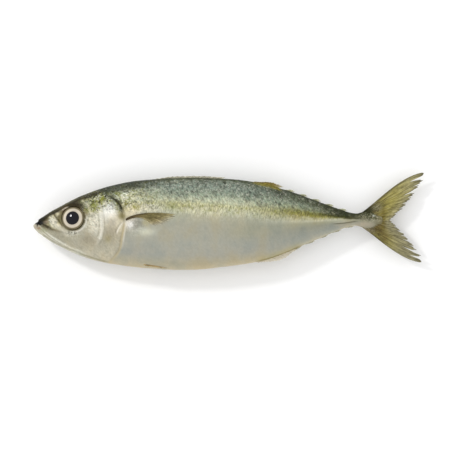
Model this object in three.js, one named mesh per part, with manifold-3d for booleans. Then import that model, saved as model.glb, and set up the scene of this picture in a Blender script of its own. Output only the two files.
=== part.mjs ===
// A whole raw mackerel that lies on its right side, in three.js.
//
// Millimetres, +Z up. The snout points to -X, the back to +Y, and the left flank faces up. The origin is
// under the middle of the fish's box, on the surface that it lies on. The fish is one solid: its body,
// gill covers and fins are joined. Each eyeball sits loose in its own socket and is a solid of its own.
//
// While it is built, a place on the fish is a station, which is a distance behind the tip of the lower
// jaw, and a level, which is a height above the line from the jaw to the fork of the tail.

import * as THREE from "three";
import { mergeVertices } from "three/addons/utils/BufferGeometryUtils.js";
import Module from "manifold-3d";

const wasm = await Module();
wasm.setup();

// ---- Driving dimensions ---------------------------------------------------------------------------

const REST_HEIGHT = 14; // from the table to the middle plane of the head and trunk
const TAIL_DROOP = 7; // how far the tips of the tail hang below that plane
const DROOP_FROM = 110; // the station where the body starts to bend down

// The outline of the bare body, without fins: [station, level].
const BACK = [
  [0, -2.6],
  [3, 0.8],
  [12, 7.1],
  [32, 16.8],
  [55, 23.6],
  [80, 26],
  [110, 26.3],
  [133, 24.4],
  [156, 18.8],
  [190, 6.8],
  [198.5, 4.6],
  [206, 6.2],
  [215, 2.4],
];
const BELLY = [
  [0, -3.4],
  [3, -7],
  [12, -13.5],
  [32, -22.6],
  [56, -27.6],
  [85, -29.9],
  [104, -29.7],
  [140, -24.7],
  [156, -19.2],
  [190, -4.9],
  [198.5, -3],
  [206, -5],
  [215, -2.2],
];
// Half the thickness of the body, and the level at which it is thickest: [station, size].
const HALF_WIDTH = [
  [0, 0.7],
  [3, 2.9],
  [12, 6.2],
  [24, 9.7],
  [38, 12.1],
  [54, 13.5],
  [90, 14.6],
  [112, 14.2],
  [132, 12.8],
  [152, 10.2],
  [184, 4.6],
  [199, 2.5],
  [215, 0.5],
];
const WIDEST_LEVEL = [
  [0, -3],
  [24, -3.4],
  [60, -2],
  [110, -1.4],
  [160, -0.2],
  [200, 0.8],
  [215, 0.7],
];

const GILL_LIFT = 0.9; // how far the gill cover's rear edge stands off the shoulder
const LIP_LIFT = 0.55; // the upper jaw bone over the lower jaw
const SUNK = 0.25; // how far a raised plate's hidden front lies under the skin

// The grooves, each as the width at its widest and the depth.
const CREASE = [1.5, 0.9]; // behind the gill cover
const CHEEK_LINE = [0.9, 0.45];
const MOUTH = [1.1, 1.2];

const EYE_RADIUS = 6.6;
const EYE_BACK = 4.6; // how deep the eyeball sits behind its rim
const EYE_DOME = 1.6; // how far its front stands out of the rim
const EYE_STATION = 24;
const EYE_LEVEL = 1.7;
const SOCKET_GAP = 0.4;

const RING_POINTS = 36; // round each cross-section of the body

// ---- Curves ---------------------------------------------------------------------------------------

// A smooth function through [station, value] points: a cubic between each two, whose slope at a point
// comes from the two points beside it.
function through(points) {
  const last = points.length - 1;
  const slopes = points.map((_, i) => {
    const [a, b] = [points[Math.max(i - 1, 0)], points[Math.min(i + 1, last)]];
    return (b[1] - a[1]) / (b[0] - a[0]);
  });
  return (station) => {
    const found = points.findIndex((point) => point[0] > station);
    const i = found < 0 ? last - 1 : Math.max(found - 1, 0);
    const [[s0, v0], [s1, v1]] = [points[i], points[i + 1]];
    const gap = s1 - s0;
    const t = THREE.MathUtils.clamp((station - s0) / gap, 0, 1);
    const [t2, t3] = [t * t, t * t * t];
    return (
      v0 * (2 * t3 - 3 * t2 + 1) +
      v1 * (3 * t2 - 2 * t3) +
      gap * (slopes[i] * (t3 - 2 * t2 + t) + slopes[i + 1] * (t3 - t2))
    );
  };
}

const back = through(BACK);
const belly = through(BELLY);
const halfWidth = through(HALF_WIDTH);
const widestLevel = through(WIDEST_LEVEL);
const LENGTH = 240.5; // to the tip of the tail's upper lobe

// The height of the fish's middle plane above the table at a station.
function middle(station) {
  const bend = Math.max(station - DROOP_FROM, 0) / (LENGTH - DROOP_FROM);
  return REST_HEIGHT - TAIL_DROOP * bend * bend;
}

// A point of the skin, or one that stands off it by a lift. The angle is 0 on the left flank, a quarter
// turn at the back, a half turn on the right flank and three quarters at the belly.
function skin(station, angle, lift = 0) {
  const width = halfWidth(station);
  const level = widestLevel(station);
  const up = Math.sin(angle);
  const out = Math.cos(angle);
  const reach = up > 0 ? back(station) - level : level - belly(station);
  const normal = new THREE.Vector2(out / width, up / reach).normalize();
  return new THREE.Vector3(
    station,
    level + reach * up + lift * normal.y,
    middle(station) + width * out + lift * normal.x,
  );
}

// The angle of the skin point at a level, on the left flank (side 1) or the right one (side -1).
function angleAt(station, level, side) {
  const widest = widestLevel(station);
  const reach = level > widest ? back(station) - widest : widest - belly(station);
  const angle = Math.asin(THREE.MathUtils.clamp((level - widest) / reach, -1, 1));
  return side > 0 ? angle : Math.PI - angle;
}

// A cubic Bezier curve through the side view, given as four [station, level] points.
function stroke(...points) {
  return new THREE.CubicBezierCurve(...points.map((p) => new THREE.Vector2(...p)));
}

// ---- Solids ---------------------------------------------------------------------------------------

function geometryOf(points, triangles) {
  const geometry = new THREE.BufferGeometry().setFromPoints(points);
  return geometry.setIndex(triangles);
}

// A closed geometry as a solid, with its faces turned outwards.
function solid(geometry) {
  const bare = new THREE.BufferGeometry();
  bare.setAttribute("position", geometry.getAttribute("position"));
  bare.setIndex(geometry.getIndex());
  const merged = mergeVertices(bare, 1e-4);
  const build = (triVerts) =>
    new wasm.Manifold(
      new wasm.Mesh({
        numProp: 3,
        vertProperties: merged.getAttribute("position").array,
        triVerts,
      }),
    );
  const triangles = new Uint32Array(merged.getIndex().array);
  const made = build(triangles);
  return made.volume() > 0 ? made : build(triangles.reverse());
}

function geometryFrom(made) {
  const mesh = made.getMesh();
  const geometry = new THREE.BufferGeometry();
  const positions = new Float32Array(mesh.vertProperties);
  geometry.setAttribute("position", new THREE.BufferAttribute(positions, 3));
  geometry.setIndex(new THREE.BufferAttribute(new Uint32Array(mesh.triVerts), 1));
  geometry.computeVertexNormals();
  return geometry;
}

// The stations of the body's cross-sections: close together on the head, wider along the trunk.
function sections(from, to) {
  const found = [];
  const stepAt = (station) => {
    if (station < 3) return 1;
    if (station < 60) return 3.2;
    return station < 186 ? 7 : 3.2;
  };
  for (let station = from; station < to - 0.5; station += stepAt(station)) found.push(station);
  return [...found, to];
}

// The body between two stations, with its skin moved out by lift(station, angle).
function loft(from, to, lift = () => 0) {
  const stations = sections(from, to);
  const points = [];
  const triangles = [];
  for (const station of stations) {
    for (let i = 0; i < RING_POINTS; i++) {
      const angle = (2 * Math.PI * i) / RING_POINTS;
      points.push(skin(station, angle, lift(station, angle)));
    }
  }
  const at = (ring, i) => ring * RING_POINTS + (i % RING_POINTS);
  for (let ring = 0; ring + 1 < stations.length; ring++) {
    for (let i = 0; i < RING_POINTS; i++) {
      const [a, b, c, d] = [at(ring, i), at(ring, i + 1), at(ring + 1, i + 1), at(ring + 1, i)];
      triangles.push(a, b, c, a, c, d);
    }
  }
  const last = stations.length - 1;
  const ends = [
    [from, 0, 1],
    [to, last, -1],
  ];
  for (const [station, ring, turn] of ends) {
    const pole = points.length;
    points.push(new THREE.Vector3(station - 0.2 * turn, widestLevel(station), middle(station)));
    for (let i = 0; i < RING_POINTS; i++) {
      const pair = [at(ring, i), at(ring, i + 1)];
      triangles.push(pole, ...(turn > 0 ? pair.reverse() : pair));
    }
  }
  return solid(geometryOf(points, triangles));
}

// A side-view shape pushed right through the fish.
function prism(shape) {
  const depth = 60;
  const geometry = new THREE.ExtrudeGeometry(shape, { depth, bevelEnabled: false, curveSegments: 10 });
  return solid(geometry.translate(0, 0, REST_HEIGHT - depth / 2));
}

// What a groove along a curve of the side view takes out of both flanks. It narrows to its two ends.
function groove(curve, [width, depth]) {
  const steps = 11;
  const sides = [[], []];
  for (let i = 0; i <= steps; i++) {
    const t = i / steps;
    const point = curve.getPoint(t);
    const along = curve.getTangent(t);
    const across = new THREE.Vector2(-along.y, along.x);
    const half = (width / 2) * (0.25 + 0.75 * Math.sqrt(Math.sin(Math.PI * t)));
    sides[0].push(point.clone().addScaledVector(across, half));
    sides[1].unshift(point.clone().addScaledVector(across, -half));
  }
  const core = loft(2, 70, () => -depth);
  return prism(new THREE.Shape([...sides[0], ...sides[1]])).subtract(core);
}

// ---- Head -----------------------------------------------------------------------------------------

// The gill cover's rear edge, from the nape down to the throat.
const GILL_EDGE = [
  [46, 13.9],
  [51.4, 11.9],
  [54.4, 6.1],
  [55.5, 0],
  [54.2, -9.3],
  [52.4, -18],
  [46, -25.5],
].map((p) => new THREE.Vector2(...p));

const GAPE = stroke([2.2, -0.6], [7.5, -6.8], [14, -13.6], [26, -16.6]);
const LIP_TOP = stroke([3.4, -1.8], [14, -8], [31, -7], [28, -17.5]);

function gillCover() {
  const shape = new THREE.Shape();
  shape.moveTo(26, 13.9);
  shape.lineTo(GILL_EDGE[0].x, GILL_EDGE[0].y);
  shape.splineThru(GILL_EDGE.slice(1));
  shape.lineTo(40, -32);
  shape.lineTo(26, -32);
  // Sunk in front, it rises towards its rear edge, later near the nape, and fades out at the throat.
  const rise = (station, angle) => {
    const up = Math.sin(angle);
    const along = THREE.MathUtils.smoothstep(station, up > 0 ? 28 + 20 * up : 28, 52);
    const throat = THREE.MathUtils.smoothstep(-up, 0.85, 1);
    return (GILL_LIFT + SUNK) * along * (1 - throat) - SUNK;
  };
  return loft(24, 66, rise).intersect(prism(shape));
}

// The shadowed crease that the gill cover closes on.
function gillCrease() {
  const inward = 0.97; // keeps its lower end clear of the throat
  const points = GILL_EDGE.map((p) => new THREE.Vector2(p.x + CREASE[0] / 2, p.y * inward));
  return groove(new THREE.SplineCurve(points), CREASE);
}

// The bone of the upper jaw, which laps over the lower jaw.
function upperLip() {
  const shape = new THREE.Shape([...LIP_TOP.getPoints(10), ...GAPE.getPoints(10).slice(1).reverse()]);
  const rise = (station) => (LIP_LIFT + SUNK) * THREE.MathUtils.smoothstep(station, 3, 9) - SUNK;
  return loft(3, 40, rise).intersect(prism(shape));
}

// The line that parts the cheek from the gill cover.
function cheekLine() {
  return groove(stroke([42.5, 11], [44.5, -2], [46, -12], [36, -18.5]), CHEEK_LINE);
}

function mouthLine() {
  return groove(GAPE, MOUTH);
}

// Half of the eyeball's outline, as [radius, height] on its axis. It is a flat bowl under a low dome.
function eyeOutline() {
  const steps = 5;
  const arc = (t, radius, height) => {
    const angle = (t / steps) * (Math.PI / 2);
    return new THREE.Vector2(radius * Math.cos(angle), height * Math.sin(angle));
  };
  const outline = [];
  for (let i = steps; i > 0; i--) outline.push(arc(i, EYE_RADIUS, -EYE_BACK));
  for (let i = 0; i <= steps; i++) outline.push(arc(i, EYE_RADIUS, EYE_DOME));
  outline[0].x = 0;
  outline[outline.length - 1].x = 0;
  return outline;
}

// The same bowl with room round it, open at the front and flared to the rim of the orbit.
function socketOutline() {
  const bowl = eyeOutline().filter((p) => p.y <= 0.001);
  const grown = bowl.map((p) => {
    const share = 1 + SOCKET_GAP / EYE_BACK;
    return new THREE.Vector2(p.x * (1 + SOCKET_GAP / EYE_RADIUS), p.y * share);
  });
  const flare = EYE_RADIUS + 3 * SOCKET_GAP;
  return [...grown, new THREE.Vector2(flare, 2), new THREE.Vector2(flare, 5), new THREE.Vector2(0, 5)];
}

// Where an eyeball sits on a side, and which way it looks: straight out of the skin.
function eyeSeat(side) {
  const angle = angleAt(EYE_STATION, EYE_LEVEL, side);
  const centre = skin(EYE_STATION, angle, -0.3);
  const along = skin(EYE_STATION + 1, angle).sub(skin(EYE_STATION - 1, angle));
  const across = skin(EYE_STATION, angle + 0.05).sub(skin(EYE_STATION, angle - 0.05));
  const gaze = along.cross(across).normalize();
  return { centre, turn: new THREE.Quaternion().setFromUnitVectors(new THREE.Vector3(0, 1, 0), gaze) };
}

function eyeSocket(side) {
  const seat = eyeSeat(side);
  const geometry = new THREE.LatheGeometry(socketOutline(), 24);
  geometry.applyQuaternion(seat.turn).translate(...seat.centre.toArray());
  return solid(geometry);
}

// ---- Fins -----------------------------------------------------------------------------------------

// A fin is a fan of rays with a thinner web between each two. Its two faces are grids of the same
// columns: one for each ray and one for each web, whose end falls short of the rays' tips by a split.
//   ray(i, t)      [station, level] of ray i at t, which is 0 at the root and 1 at the tip
//   place(p, face, ridge, t)   the point in space for a place p on a face, 1 or -1
function fan({ rays, rows, ray, split, place }) {
  const columns = 2 * rays - 1;
  const points = [];
  const index = (face, column, row) => ((face > 0 ? 0 : columns) + column) * (rows + 1) + row;
  for (const face of [1, -1]) {
    for (let column = 0; column < columns; column++) {
      const onRay = column % 2 === 0;
      const i = Math.floor(column / 2);
      for (let row = 0; row <= rows; row++) {
        const reach = onRay ? 1 : 1 - split(i);
        const t = (row / rows) * reach;
        const p = ray(i, t);
        const spot = onRay ? p : p.clone().lerp(ray(i + 1, t), 0.5);
        points.push(place(spot, face, onRay ? 1 : 0, t));
      }
    }
  }
  const triangles = [];
  const quad = (a, b, c, d) => triangles.push(a, b, c, a, c, d);
  for (let column = 0; column + 1 < columns; column++) {
    for (let row = 0; row < rows; row++) {
      const corners = (face) => [
        index(face, column, row),
        index(face, column + 1, row),
        index(face, column + 1, row + 1),
        index(face, column, row + 1),
      ];
      quad(...corners(1));
      quad(...corners(-1).reverse());
    }
  }
  const rim = [];
  for (let column = 0; column < columns - 1; column++) rim.push([column, 0]);
  for (let row = 0; row < rows; row++) rim.push([columns - 1, row]);
  for (let column = columns - 1; column > 0; column--) rim.push([column, rows]);
  for (let row = rows; row > 0; row--) rim.push([0, row]);
  rim.forEach((here, k) => {
    const next = rim[(k + 1) % rim.length];
    quad(index(-1, ...here), index(-1, ...next), index(1, ...next), index(1, ...here));
  });
  return solid(geometryOf(points, triangles));
}

// Places a fin upright in the fish's middle plane. Its half thickness falls from root to tip.
function upright(root, tip) {
  return (p, face, ridge, t) => {
    const half = THREE.MathUtils.lerp(root, tip, t) * (0.6 + 0.4 * ridge);
    return new THREE.Vector3(p.x, p.y, middle(p.x) + face * half);
  };
}

// Lays a fin on a flank. Its inner face is sunk in the body. Its rays come out of the skin at the root.
function laid(side, lift) {
  return (p, face, ridge, t) => {
    const full = lift * (0.7 + 0.3 * ridge) * (1 - 0.35 * t);
    const outer = THREE.MathUtils.lerp(-SUNK, full, THREE.MathUtils.smoothstep(t, 0, 0.3));
    return skin(p.x, angleAt(p.x, p.y, side), face > 0 ? outer : -1);
  };
}

// The rays between two edge curves of a fin. A bow moves the tips of the inner rays by [x, y].
function between(first, last, rays, bow = [0, 0]) {
  return (i, t) => {
    const share = i / (rays - 1);
    const sag = 4 * share * (1 - share) * t * t;
    const p = first.getPoint(t).lerp(last.getPoint(t), share);
    return p.add(new THREE.Vector2(bow[0] * sag, bow[1] * sag));
  };
}

// The forked tail. Its lobes' splits, as shares of a ray, run from the leading edge to the fork.
const TAIL_UPPER_EDGE = stroke([199, 3.6], [208, 7.4], [224, 27.8], [LENGTH, 30]);
const TAIL_LOWER_EDGE = stroke([199, -2.2], [207.5, -5.7], [223.2, -23.8], [239, -25.7]);
const TAIL_MIDDLE_RAY = stroke([206, 0.6], [210, 0.6], [214, 0.5], [218.6, 0.3]);
const TAIL_LOBE_RAYS = 9;
const TAIL_UPPER_SPLITS = [0.1, 0.07, 0.2, 0.08, 0.1, 0.1, 0.12, 0.14];
const TAIL_LOWER_SPLITS = [0.1, 0.18, 0.1, 0.12, 0.12, 0.15, 0.12, 0.14];

function tail() {
  const rays = 2 * TAIL_LOBE_RAYS - 1;
  const upper = between(TAIL_UPPER_EDGE, TAIL_MIDDLE_RAY, TAIL_LOBE_RAYS, [-0.6, -3.9]);
  const lower = between(TAIL_LOWER_EDGE, TAIL_MIDDLE_RAY, TAIL_LOBE_RAYS, [-0.6, 3]);
  const fork = TAIL_LOBE_RAYS - 1;
  return fan({
    rays,
    rows: 8,
    ray: (i, t) => (i <= fork ? upper(i, t) : lower(rays - 1 - i, t)),
    split: (i) => (i < fork ? TAIL_UPPER_SPLITS[i] : TAIL_LOWER_SPLITS[rays - 2 - i]),
    place: upright(1.1, 0.35),
  });
}

const FIN_SUNK = 1.2; // how far the roots of the low fins lie inside the body

// A low fin on the back (side 1) or the belly (side -1), with its rays folded towards the tail. It rises
// from its front to its full height.
function folded({ side, from, to, sweep, height, rays, rows, half }) {
  const line = side > 0 ? back : belly;
  const ray = (i, t) => {
    const share = i / (rays - 1);
    const root = THREE.MathUtils.lerp(from, to, share);
    const station = root + sweep * t;
    const crest = height * (0.2 + 0.8 * THREE.MathUtils.smoothstep(share, 0, 0.6));
    return new THREE.Vector2(station, line(station) + side * THREE.MathUtils.lerp(-FIN_SUNK, crest, t));
  };
  return fan({ rays, rows, ray, split: () => 0.1, place: upright(half, 0.3) });
}

const FINLET = { sweep: 4.6, height: 1, rays: 3, rows: 2, half: 0.8 };
const FINLETS = 5;
const BACK_FINLET_FROM = 154.5; // the first finlet behind the second dorsal fin
const BELLY_FINLET_FROM = 155.5;
const FINLET_PITCH = 8;
const FINLET_ROOT = 3.4;

function finlets(side, first) {
  return Array.from({ length: FINLETS }, (_, i) => {
    const from = first + i * FINLET_PITCH;
    return folded({ ...FINLET, side, from, to: from + FINLET_ROOT });
  });
}

function pectoral(side) {
  const upper = stroke([56.5, 0.4], [64, 5], [76, 5.1], [88.5, 3.8]);
  const lower = stroke([57.2, -0.6], [66, 2.2], [69.5, -2.4], [79, -2.8]);
  const rays = 7;
  const fin = fan({
    rays,
    rows: 6,
    ray: between(upper, lower, rays),
    split: () => 0.06,
    place: laid(side, 0.9),
  });
  const shoulder = new THREE.SphereGeometry(1, 14, 8).scale(5.4, 3.4, 1.6);
  const seat = skin(61.8, angleAt(61.8, -1.2, side), -0.8);
  return [fin, solid(shoulder.translate(...seat.toArray()))];
}

function pelvic(side) {
  const outer = stroke([66.5, -25.6], [72, -26.2], [77, -26.9], [81.5, -27.7]);
  const inner = stroke([66.5, -26.9], [72, -27.5], [78, -28.4], [84, -29.1]);
  const rays = 4;
  return fan({ rays, rows: 4, ray: between(outer, inner, rays), split: () => 0.08, place: laid(side, 0.8) });
}

// ---- The fish -------------------------------------------------------------------------------------

// What lies above the table: it cuts the flat spot that the fish rests on.
function aboveTable() {
  const box = new THREE.BoxGeometry(400, 200, 100);
  return solid(box.translate(LENGTH / 2, 0, 50));
}

function fish() {
  const sides = [1, -1];
  const joined = [
    loft(0, 215),
    gillCover(),
    upperLip(),
    tail(),
    folded({ side: 1, from: 70, to: 117, sweep: 7, height: 0.8, rays: 9, rows: 3, half: 0.9 }),
    folded({ side: 1, from: 131, to: 148, sweep: 6, height: 2.3, rays: 9, rows: 3, half: 0.9 }),
    folded({ side: -1, from: 131, to: 150.5, sweep: 5.5, height: 2.8, rays: 9, rows: 3, half: 0.9 }),
    ...finlets(1, BACK_FINLET_FROM),
    ...finlets(-1, BELLY_FINLET_FROM),
    ...sides.flatMap(pectoral),
    ...sides.map(pelvic),
  ];
  const cut = [gillCrease(), cheekLine(), mouthLine(), ...sides.map(eyeSocket)];
  const whole = joined.reduce((sum, piece) => sum.add(piece));
  return cut.reduce((rest, piece) => rest.subtract(piece), whole).intersect(aboveTable());
}

const skinMaterial = new THREE.MeshStandardMaterial({ color: 0xa9a896, roughness: 0.35, metalness: 0.1 });
const eyeMaterial = new THREE.MeshStandardMaterial({ color: 0x2a2826, roughness: 0.08, metalness: 0 });

const model = new THREE.Group();
const body = new THREE.Mesh(geometryFrom(fish()), skinMaterial);
body.name = "fish";
model.add(body);

for (const [name, side] of [
  ["eye_left", 1],
  ["eye_right", -1],
]) {
  const seat = eyeSeat(side);
  const eye = new THREE.Mesh(new THREE.LatheGeometry(eyeOutline(), 24), eyeMaterial);
  eye.name = name;
  eye.position.copy(seat.centre);
  eye.quaternion.copy(seat.turn);
  model.add(eye);
}

// The origin goes under the middle of the fish's box.
body.geometry.computeBoundingBox();
const box = body.geometry.boundingBox;
model.position.set(-(box.min.x + box.max.x) / 2, -(box.min.y + box.max.y) / 2, -box.min.z);

export default model;
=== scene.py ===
"""The looks of a whole raw mackerel that lies on its right side.

The body, the eyes and every fin are modelled in place over the solids of the frame. A place on the fish
is a station, which is a distance behind the tip of the lower jaw, and a level, which is a height above
the line from that tip to the fork of the tail. Both are in millimetres, and so are the shapes below. The
settings that a user would change are in metres.
"""

import math

import bpy
import numpy as np
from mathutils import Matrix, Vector, noise


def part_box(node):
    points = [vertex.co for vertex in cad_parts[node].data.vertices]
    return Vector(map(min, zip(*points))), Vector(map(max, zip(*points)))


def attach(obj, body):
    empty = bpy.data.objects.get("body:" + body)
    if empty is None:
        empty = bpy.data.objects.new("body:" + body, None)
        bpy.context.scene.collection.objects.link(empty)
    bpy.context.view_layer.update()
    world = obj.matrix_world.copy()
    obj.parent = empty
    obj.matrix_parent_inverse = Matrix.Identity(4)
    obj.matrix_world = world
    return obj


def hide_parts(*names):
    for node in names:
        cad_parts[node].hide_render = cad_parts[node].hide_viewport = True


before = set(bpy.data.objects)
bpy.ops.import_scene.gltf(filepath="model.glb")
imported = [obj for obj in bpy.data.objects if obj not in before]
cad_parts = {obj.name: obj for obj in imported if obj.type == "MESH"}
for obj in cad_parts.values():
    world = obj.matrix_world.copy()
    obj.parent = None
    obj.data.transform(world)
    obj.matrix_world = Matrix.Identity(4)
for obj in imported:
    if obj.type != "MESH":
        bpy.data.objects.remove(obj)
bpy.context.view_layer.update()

bl_info = {
    "name": "Raw Mackerel",
    "version": (1, 0, 0),
    "blender": (4, 5, 0),
    "location": "3D View > Sidebar > Mackerel",
    "description": "Models a whole raw mackerel over its solid frame, with its stage",
    "category": "Object",
}

MM = 0.001
FISH_LOW, FISH_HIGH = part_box("fish")
TAIL_TIP_LEVEL = 30.0  # of the upper lobe, the highest point of the fish
JAW_X = FISH_LOW.x / MM + 0.2  # where station 0 is
LEVEL_Y = FISH_HIGH.y / MM - TAIL_TIP_LEVEL  # where level 0 is
LENGTH = 240.5
REST_HEIGHT = 14.0  # of the middle plane above the table
TAIL_DROOP = 7.0
DROOP_FROM = 110.0

# ---- The shape of the body, in millimetres ----------------------------------------------------------

# The outline of the bare body, half its thickness, and where it is thickest: [station, size].
BACK = [
    [0, -2.6], [0.6, -1.9], [1.3, -1.3], [2.2, -0.8], [2.8, -0.4], [3.1, 0.7], [6.2, 2.8],
    [12, 6.5], [32, 16.4], [55, 23.4], [80, 26], [110, 26.3],
    [133, 24.4], [156, 18.8], [190, 6.6], [198.5, 4.6], [206, 6.2], [215, 2.4],
]
BELLY = [
    [0, -3.6], [0.6, -4.6], [1.8, -6.1], [3.6, -7.7], [12, -13.5], [32, -22.6], [56, -27.6],
    [85, -29.9], [104, -29.7], [140, -24.7], [156, -19.2], [190, -4.9], [198.5, -3], [206, -5], [215, -2.2],
]
HALF_WIDTH = [
    [0, 0.7], [3, 2.9], [12, 6.2], [24, 9.7], [38, 12.1], [54, 13.5], [90, 14.6],
    [112, 14.2], [132, 12.8], [152, 10.2], [184, 4.6], [199, 2.5], [215, 0.5],
]
WIDEST_LEVEL = [[0, -3], [24, -3.4], [60, -2], [110, -1.4], [160, -0.2], [200, 0.8], [215, 0.7]]

# The middle of the yellow-green stripe that parts the back from the flank.
STRIPE = [
    [0, -1.5], [12, 4.8], [24, 9.5], [40, 12], [58, 10.6], [96, 9.6],
    [138, 6.3], [158, 4.9], [176, 3.1], [192, 2.3], [215, 1.4],
]

# Lines of the head in side view. The gill edge is a smooth path, and the others are Bezier curves.
GILL_EDGE = [
    [42.4, 17.2], [47.6, 14.5], [52.4, 10.8], [54.7, 6], [55.5, 0], [54.2, -9.3], [52.4, -18], [46, -25.5],
]
GAPE = [[2.9, -0.5], [6.4, -5.3], [13, -10.9], [26, -16.8]]
LIP_TOP = [[3.4, -1.8], [14, -8], [31, -7], [28, -17.5]]
CHEEK_LINE = [[42.5, 11], [44.5, -2], [46, -12], [36, -18.5]]
SNOUT_LINE = [[12.8, 5.6], [13, 1.6], [16.4, 0.8], [18.6, -4.4]]
BROW_LINE = [[17, 5.6], [18.4, 7.2], [20, 8.2], [22.4, 8.8]]
MOUTH_LINE = [[0.6, -1.6], [4.2, -0.6], [7, -2.6], [12, -5]]
CHEEK_BAND = [[13.2, -1.4], [15.2, -4.2], [18, -6.4], [22.6, -7.4]]
JAW_LINE = [[4, -6.6], [9, -11.4], [18, -16.6], [32, -20.6]]
COVER_LINE = [[55.8, -0.6], [53.8, -2.6], [52.2, -5], [51.2, -8.6]]
THROAT_LINE = [[26, -19], [33, -21.8], [40, -24], [48, -25.6]]
BELLY_FIN_ROOT = [[135, -25.2], [146, -23.6], [156, -19.6], [167, -13.8]]
KEEL_LINE = [[183, -1.8], [190, -1.6], [195, -0.9], [200, 0.1]]
NAPE_STREAK = [[28.6, 13.2], [31, 12], [33.4, 10.6], [35, 6.4]]
EYE_DOTS = [[20.8, -6.5], [22.8, -7.3], [25, -7.5], [27, -7.1]]
CHEEK_DOTS = [[22, -9], [24.5, -9.7], [27, -9.5], [30, -8.6]]

EYE_STATION = 24.5
EYE_LEVEL = 1.7
EYE_SINK = 0.3
EYE_BACK = 4.6
EYE_DOME = 1.25
EYE_RIM = 6.4  # from the middle of the eye to where the painted rings start
NOSTRILS = [[12.4, 5.0], [14.6, 6.1]]
PECTORAL_BASE = [61.4, -1.0]

# Leading edges and middle ray of the tail, as Bezier curves, and how far each web falls short of the tips.
TAIL_UPPER_EDGE = [[199, 3.6], [208, 7.4], [224, 27.8], [LENGTH, TAIL_TIP_LEVEL]]
TAIL_LOWER_EDGE = [[199, -2.2], [207.5, -5.7], [223.2, -23.8], [239, -25.7]]
TAIL_MIDDLE_RAY = [[206, 0.6], [210, 0.6], [214, 0.5], [218.6, 0.3]]
# The rays inside each lobe run straighter than its leading edge.
TAIL_UPPER_RAY = [[199, 3.6], [212, 12], [226, 21], [LENGTH, TAIL_TIP_LEVEL]]
TAIL_LOWER_RAY = [[199, -2.2], [212, -10], [226, -18.5], [239, -25.7]]
TAIL_UPPER_SPLITS = [0.13, 0.06, 0.2, 0.05, 0.07, 0.05, 0.06, 0.05]
TAIL_LOWER_SPLITS = [0.12, 0.2, 0.05, 0.12, 0.09, 0.1, 0.07, 0.05]

# The fins on the flanks, each between its first and last rays: how far it stands off at its middle and
# its rear edge swells, its rays and how deep the slits between them are, and how finely it is modelled.
PECTORAL_FIN = {
    "first": [[57.0, 1.2], [64, 5.4], [76, 5.7], [88.5, 3.9]],
    "last": [[57.4, 0], [64, 3.8], [68.4, 1.9], [72.6, -3.0]],
    "lift": 0.5, "swell": 2.8, "rays": 15, "slits": 0.05, "columns": 210, "rows": 80,
}
PECTORAL_THICKNESS = 0.5
PELVIC_FIN = {
    "first": [[68.2, -26.6], [73, -27.3], [78, -28], [83, -28.7]],
    "last": [[67.6, -27.2], [73, -28], [79, -28.8], [84, -29.3]],
    "lift": 0.25, "swell": 0.0, "rays": 7, "slits": 0.06, "columns": 72, "rows": 60,
}
PELVIC_THICKNESS = 0.6


def through(points):
    """A smooth function through [station, value] points, in cubics with slopes from the points beside."""
    at, value = np.array(points, float).T
    slope = np.empty(len(at))
    slope[1:-1] = (value[2:] - value[:-2]) / (at[2:] - at[:-2])
    slope[0] = (value[1] - value[0]) / (at[1] - at[0])
    slope[-1] = (value[-1] - value[-2]) / (at[-1] - at[-2])

    def curve(station):
        s = np.clip(station, at[0], at[-1])
        i = np.clip(np.searchsorted(at, s, side="right") - 1, 0, len(at) - 2)
        gap = at[i + 1] - at[i]
        t = (s - at[i]) / gap
        start = value[i] * (2 * t**3 - 3 * t**2 + 1) + gap * slope[i] * (t**3 - 2 * t**2 + t)
        return start + value[i + 1] * (3 * t**2 - 2 * t**3) + gap * slope[i + 1] * (t**3 - t**2)

    return curve


def bezier(points, t):
    """Points of a cubic Bezier curve, as rows of [station, level]."""
    p = np.array(points, float)
    t = np.asarray(t, float)[..., None]
    return p[0] * (1 - t) ** 3 + 3 * p[1] * t * (1 - t) ** 2 + 3 * p[2] * t**2 * (1 - t) + p[3] * t**3


def ease(value, low, high):
    """0 below low, 1 above high, and a smooth rise between them."""
    t = np.clip((np.asarray(value, float) - low) / (high - low), 0, 1)
    return t * t * (3 - 2 * t)


def fall(value, low, high):
    """1 below low, 0 above high, and a smooth fall between them."""
    return 1 - ease(value, low, high)


def span(value, start, full, fade, end):
    """0 below start, 1 from full to fade, 0 above end, and smooth between them."""
    return ease(value, start, full) * fall(value, fade, end)


def ends_fade(share, start=0.1, end=0.1):
    """1 along a line, falling to 0 at its two ends."""
    return span(share, 0, start, 1 - end, 1)


def bell(value, width):
    """1 at 0, falling smoothly to nearly nothing at twice the width."""
    return np.exp(-((np.asarray(value, float) / width) ** 2))


def lerp(a, b, t):
    return a + (b - a) * t


back_at = through(BACK)
belly_at = through(BELLY)
half_width_at = through(HALF_WIDTH)
widest_level_at = through(WIDEST_LEVEL)
stripe_at = through(STRIPE)


def middle(station):
    """The height of the fish's middle plane above the table."""
    bend = np.maximum(station - DROOP_FROM, 0) / (LENGTH - DROOP_FROM)
    return REST_HEIGHT - TAIL_DROOP * bend**2


def skin(station, angle, lift=0.0):
    """Points of the skin, in millimetres of the frame, moved out by a lift.

    The angle is 0 on the left flank, a quarter turn at the back and three quarters at the belly.
    """
    width = half_width_at(station)
    level = widest_level_at(station)
    up, out = np.sin(angle), np.cos(angle)
    reach = np.where(up > 0, back_at(station) - level, level - belly_at(station))
    rise, spread = up / reach, out / width
    size = np.hypot(rise, spread)
    y = level + reach * up + lift * rise / size
    z = middle(station) + width * out + lift * spread / size
    return np.stack([station + JAW_X, y + LEVEL_Y, z], -1)


def in_middle(station, level, aside):
    """Points beside the middle plane, in millimetres of the frame."""
    return np.stack([station + JAW_X, level + LEVEL_Y, middle(station) + aside], -1)


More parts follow.
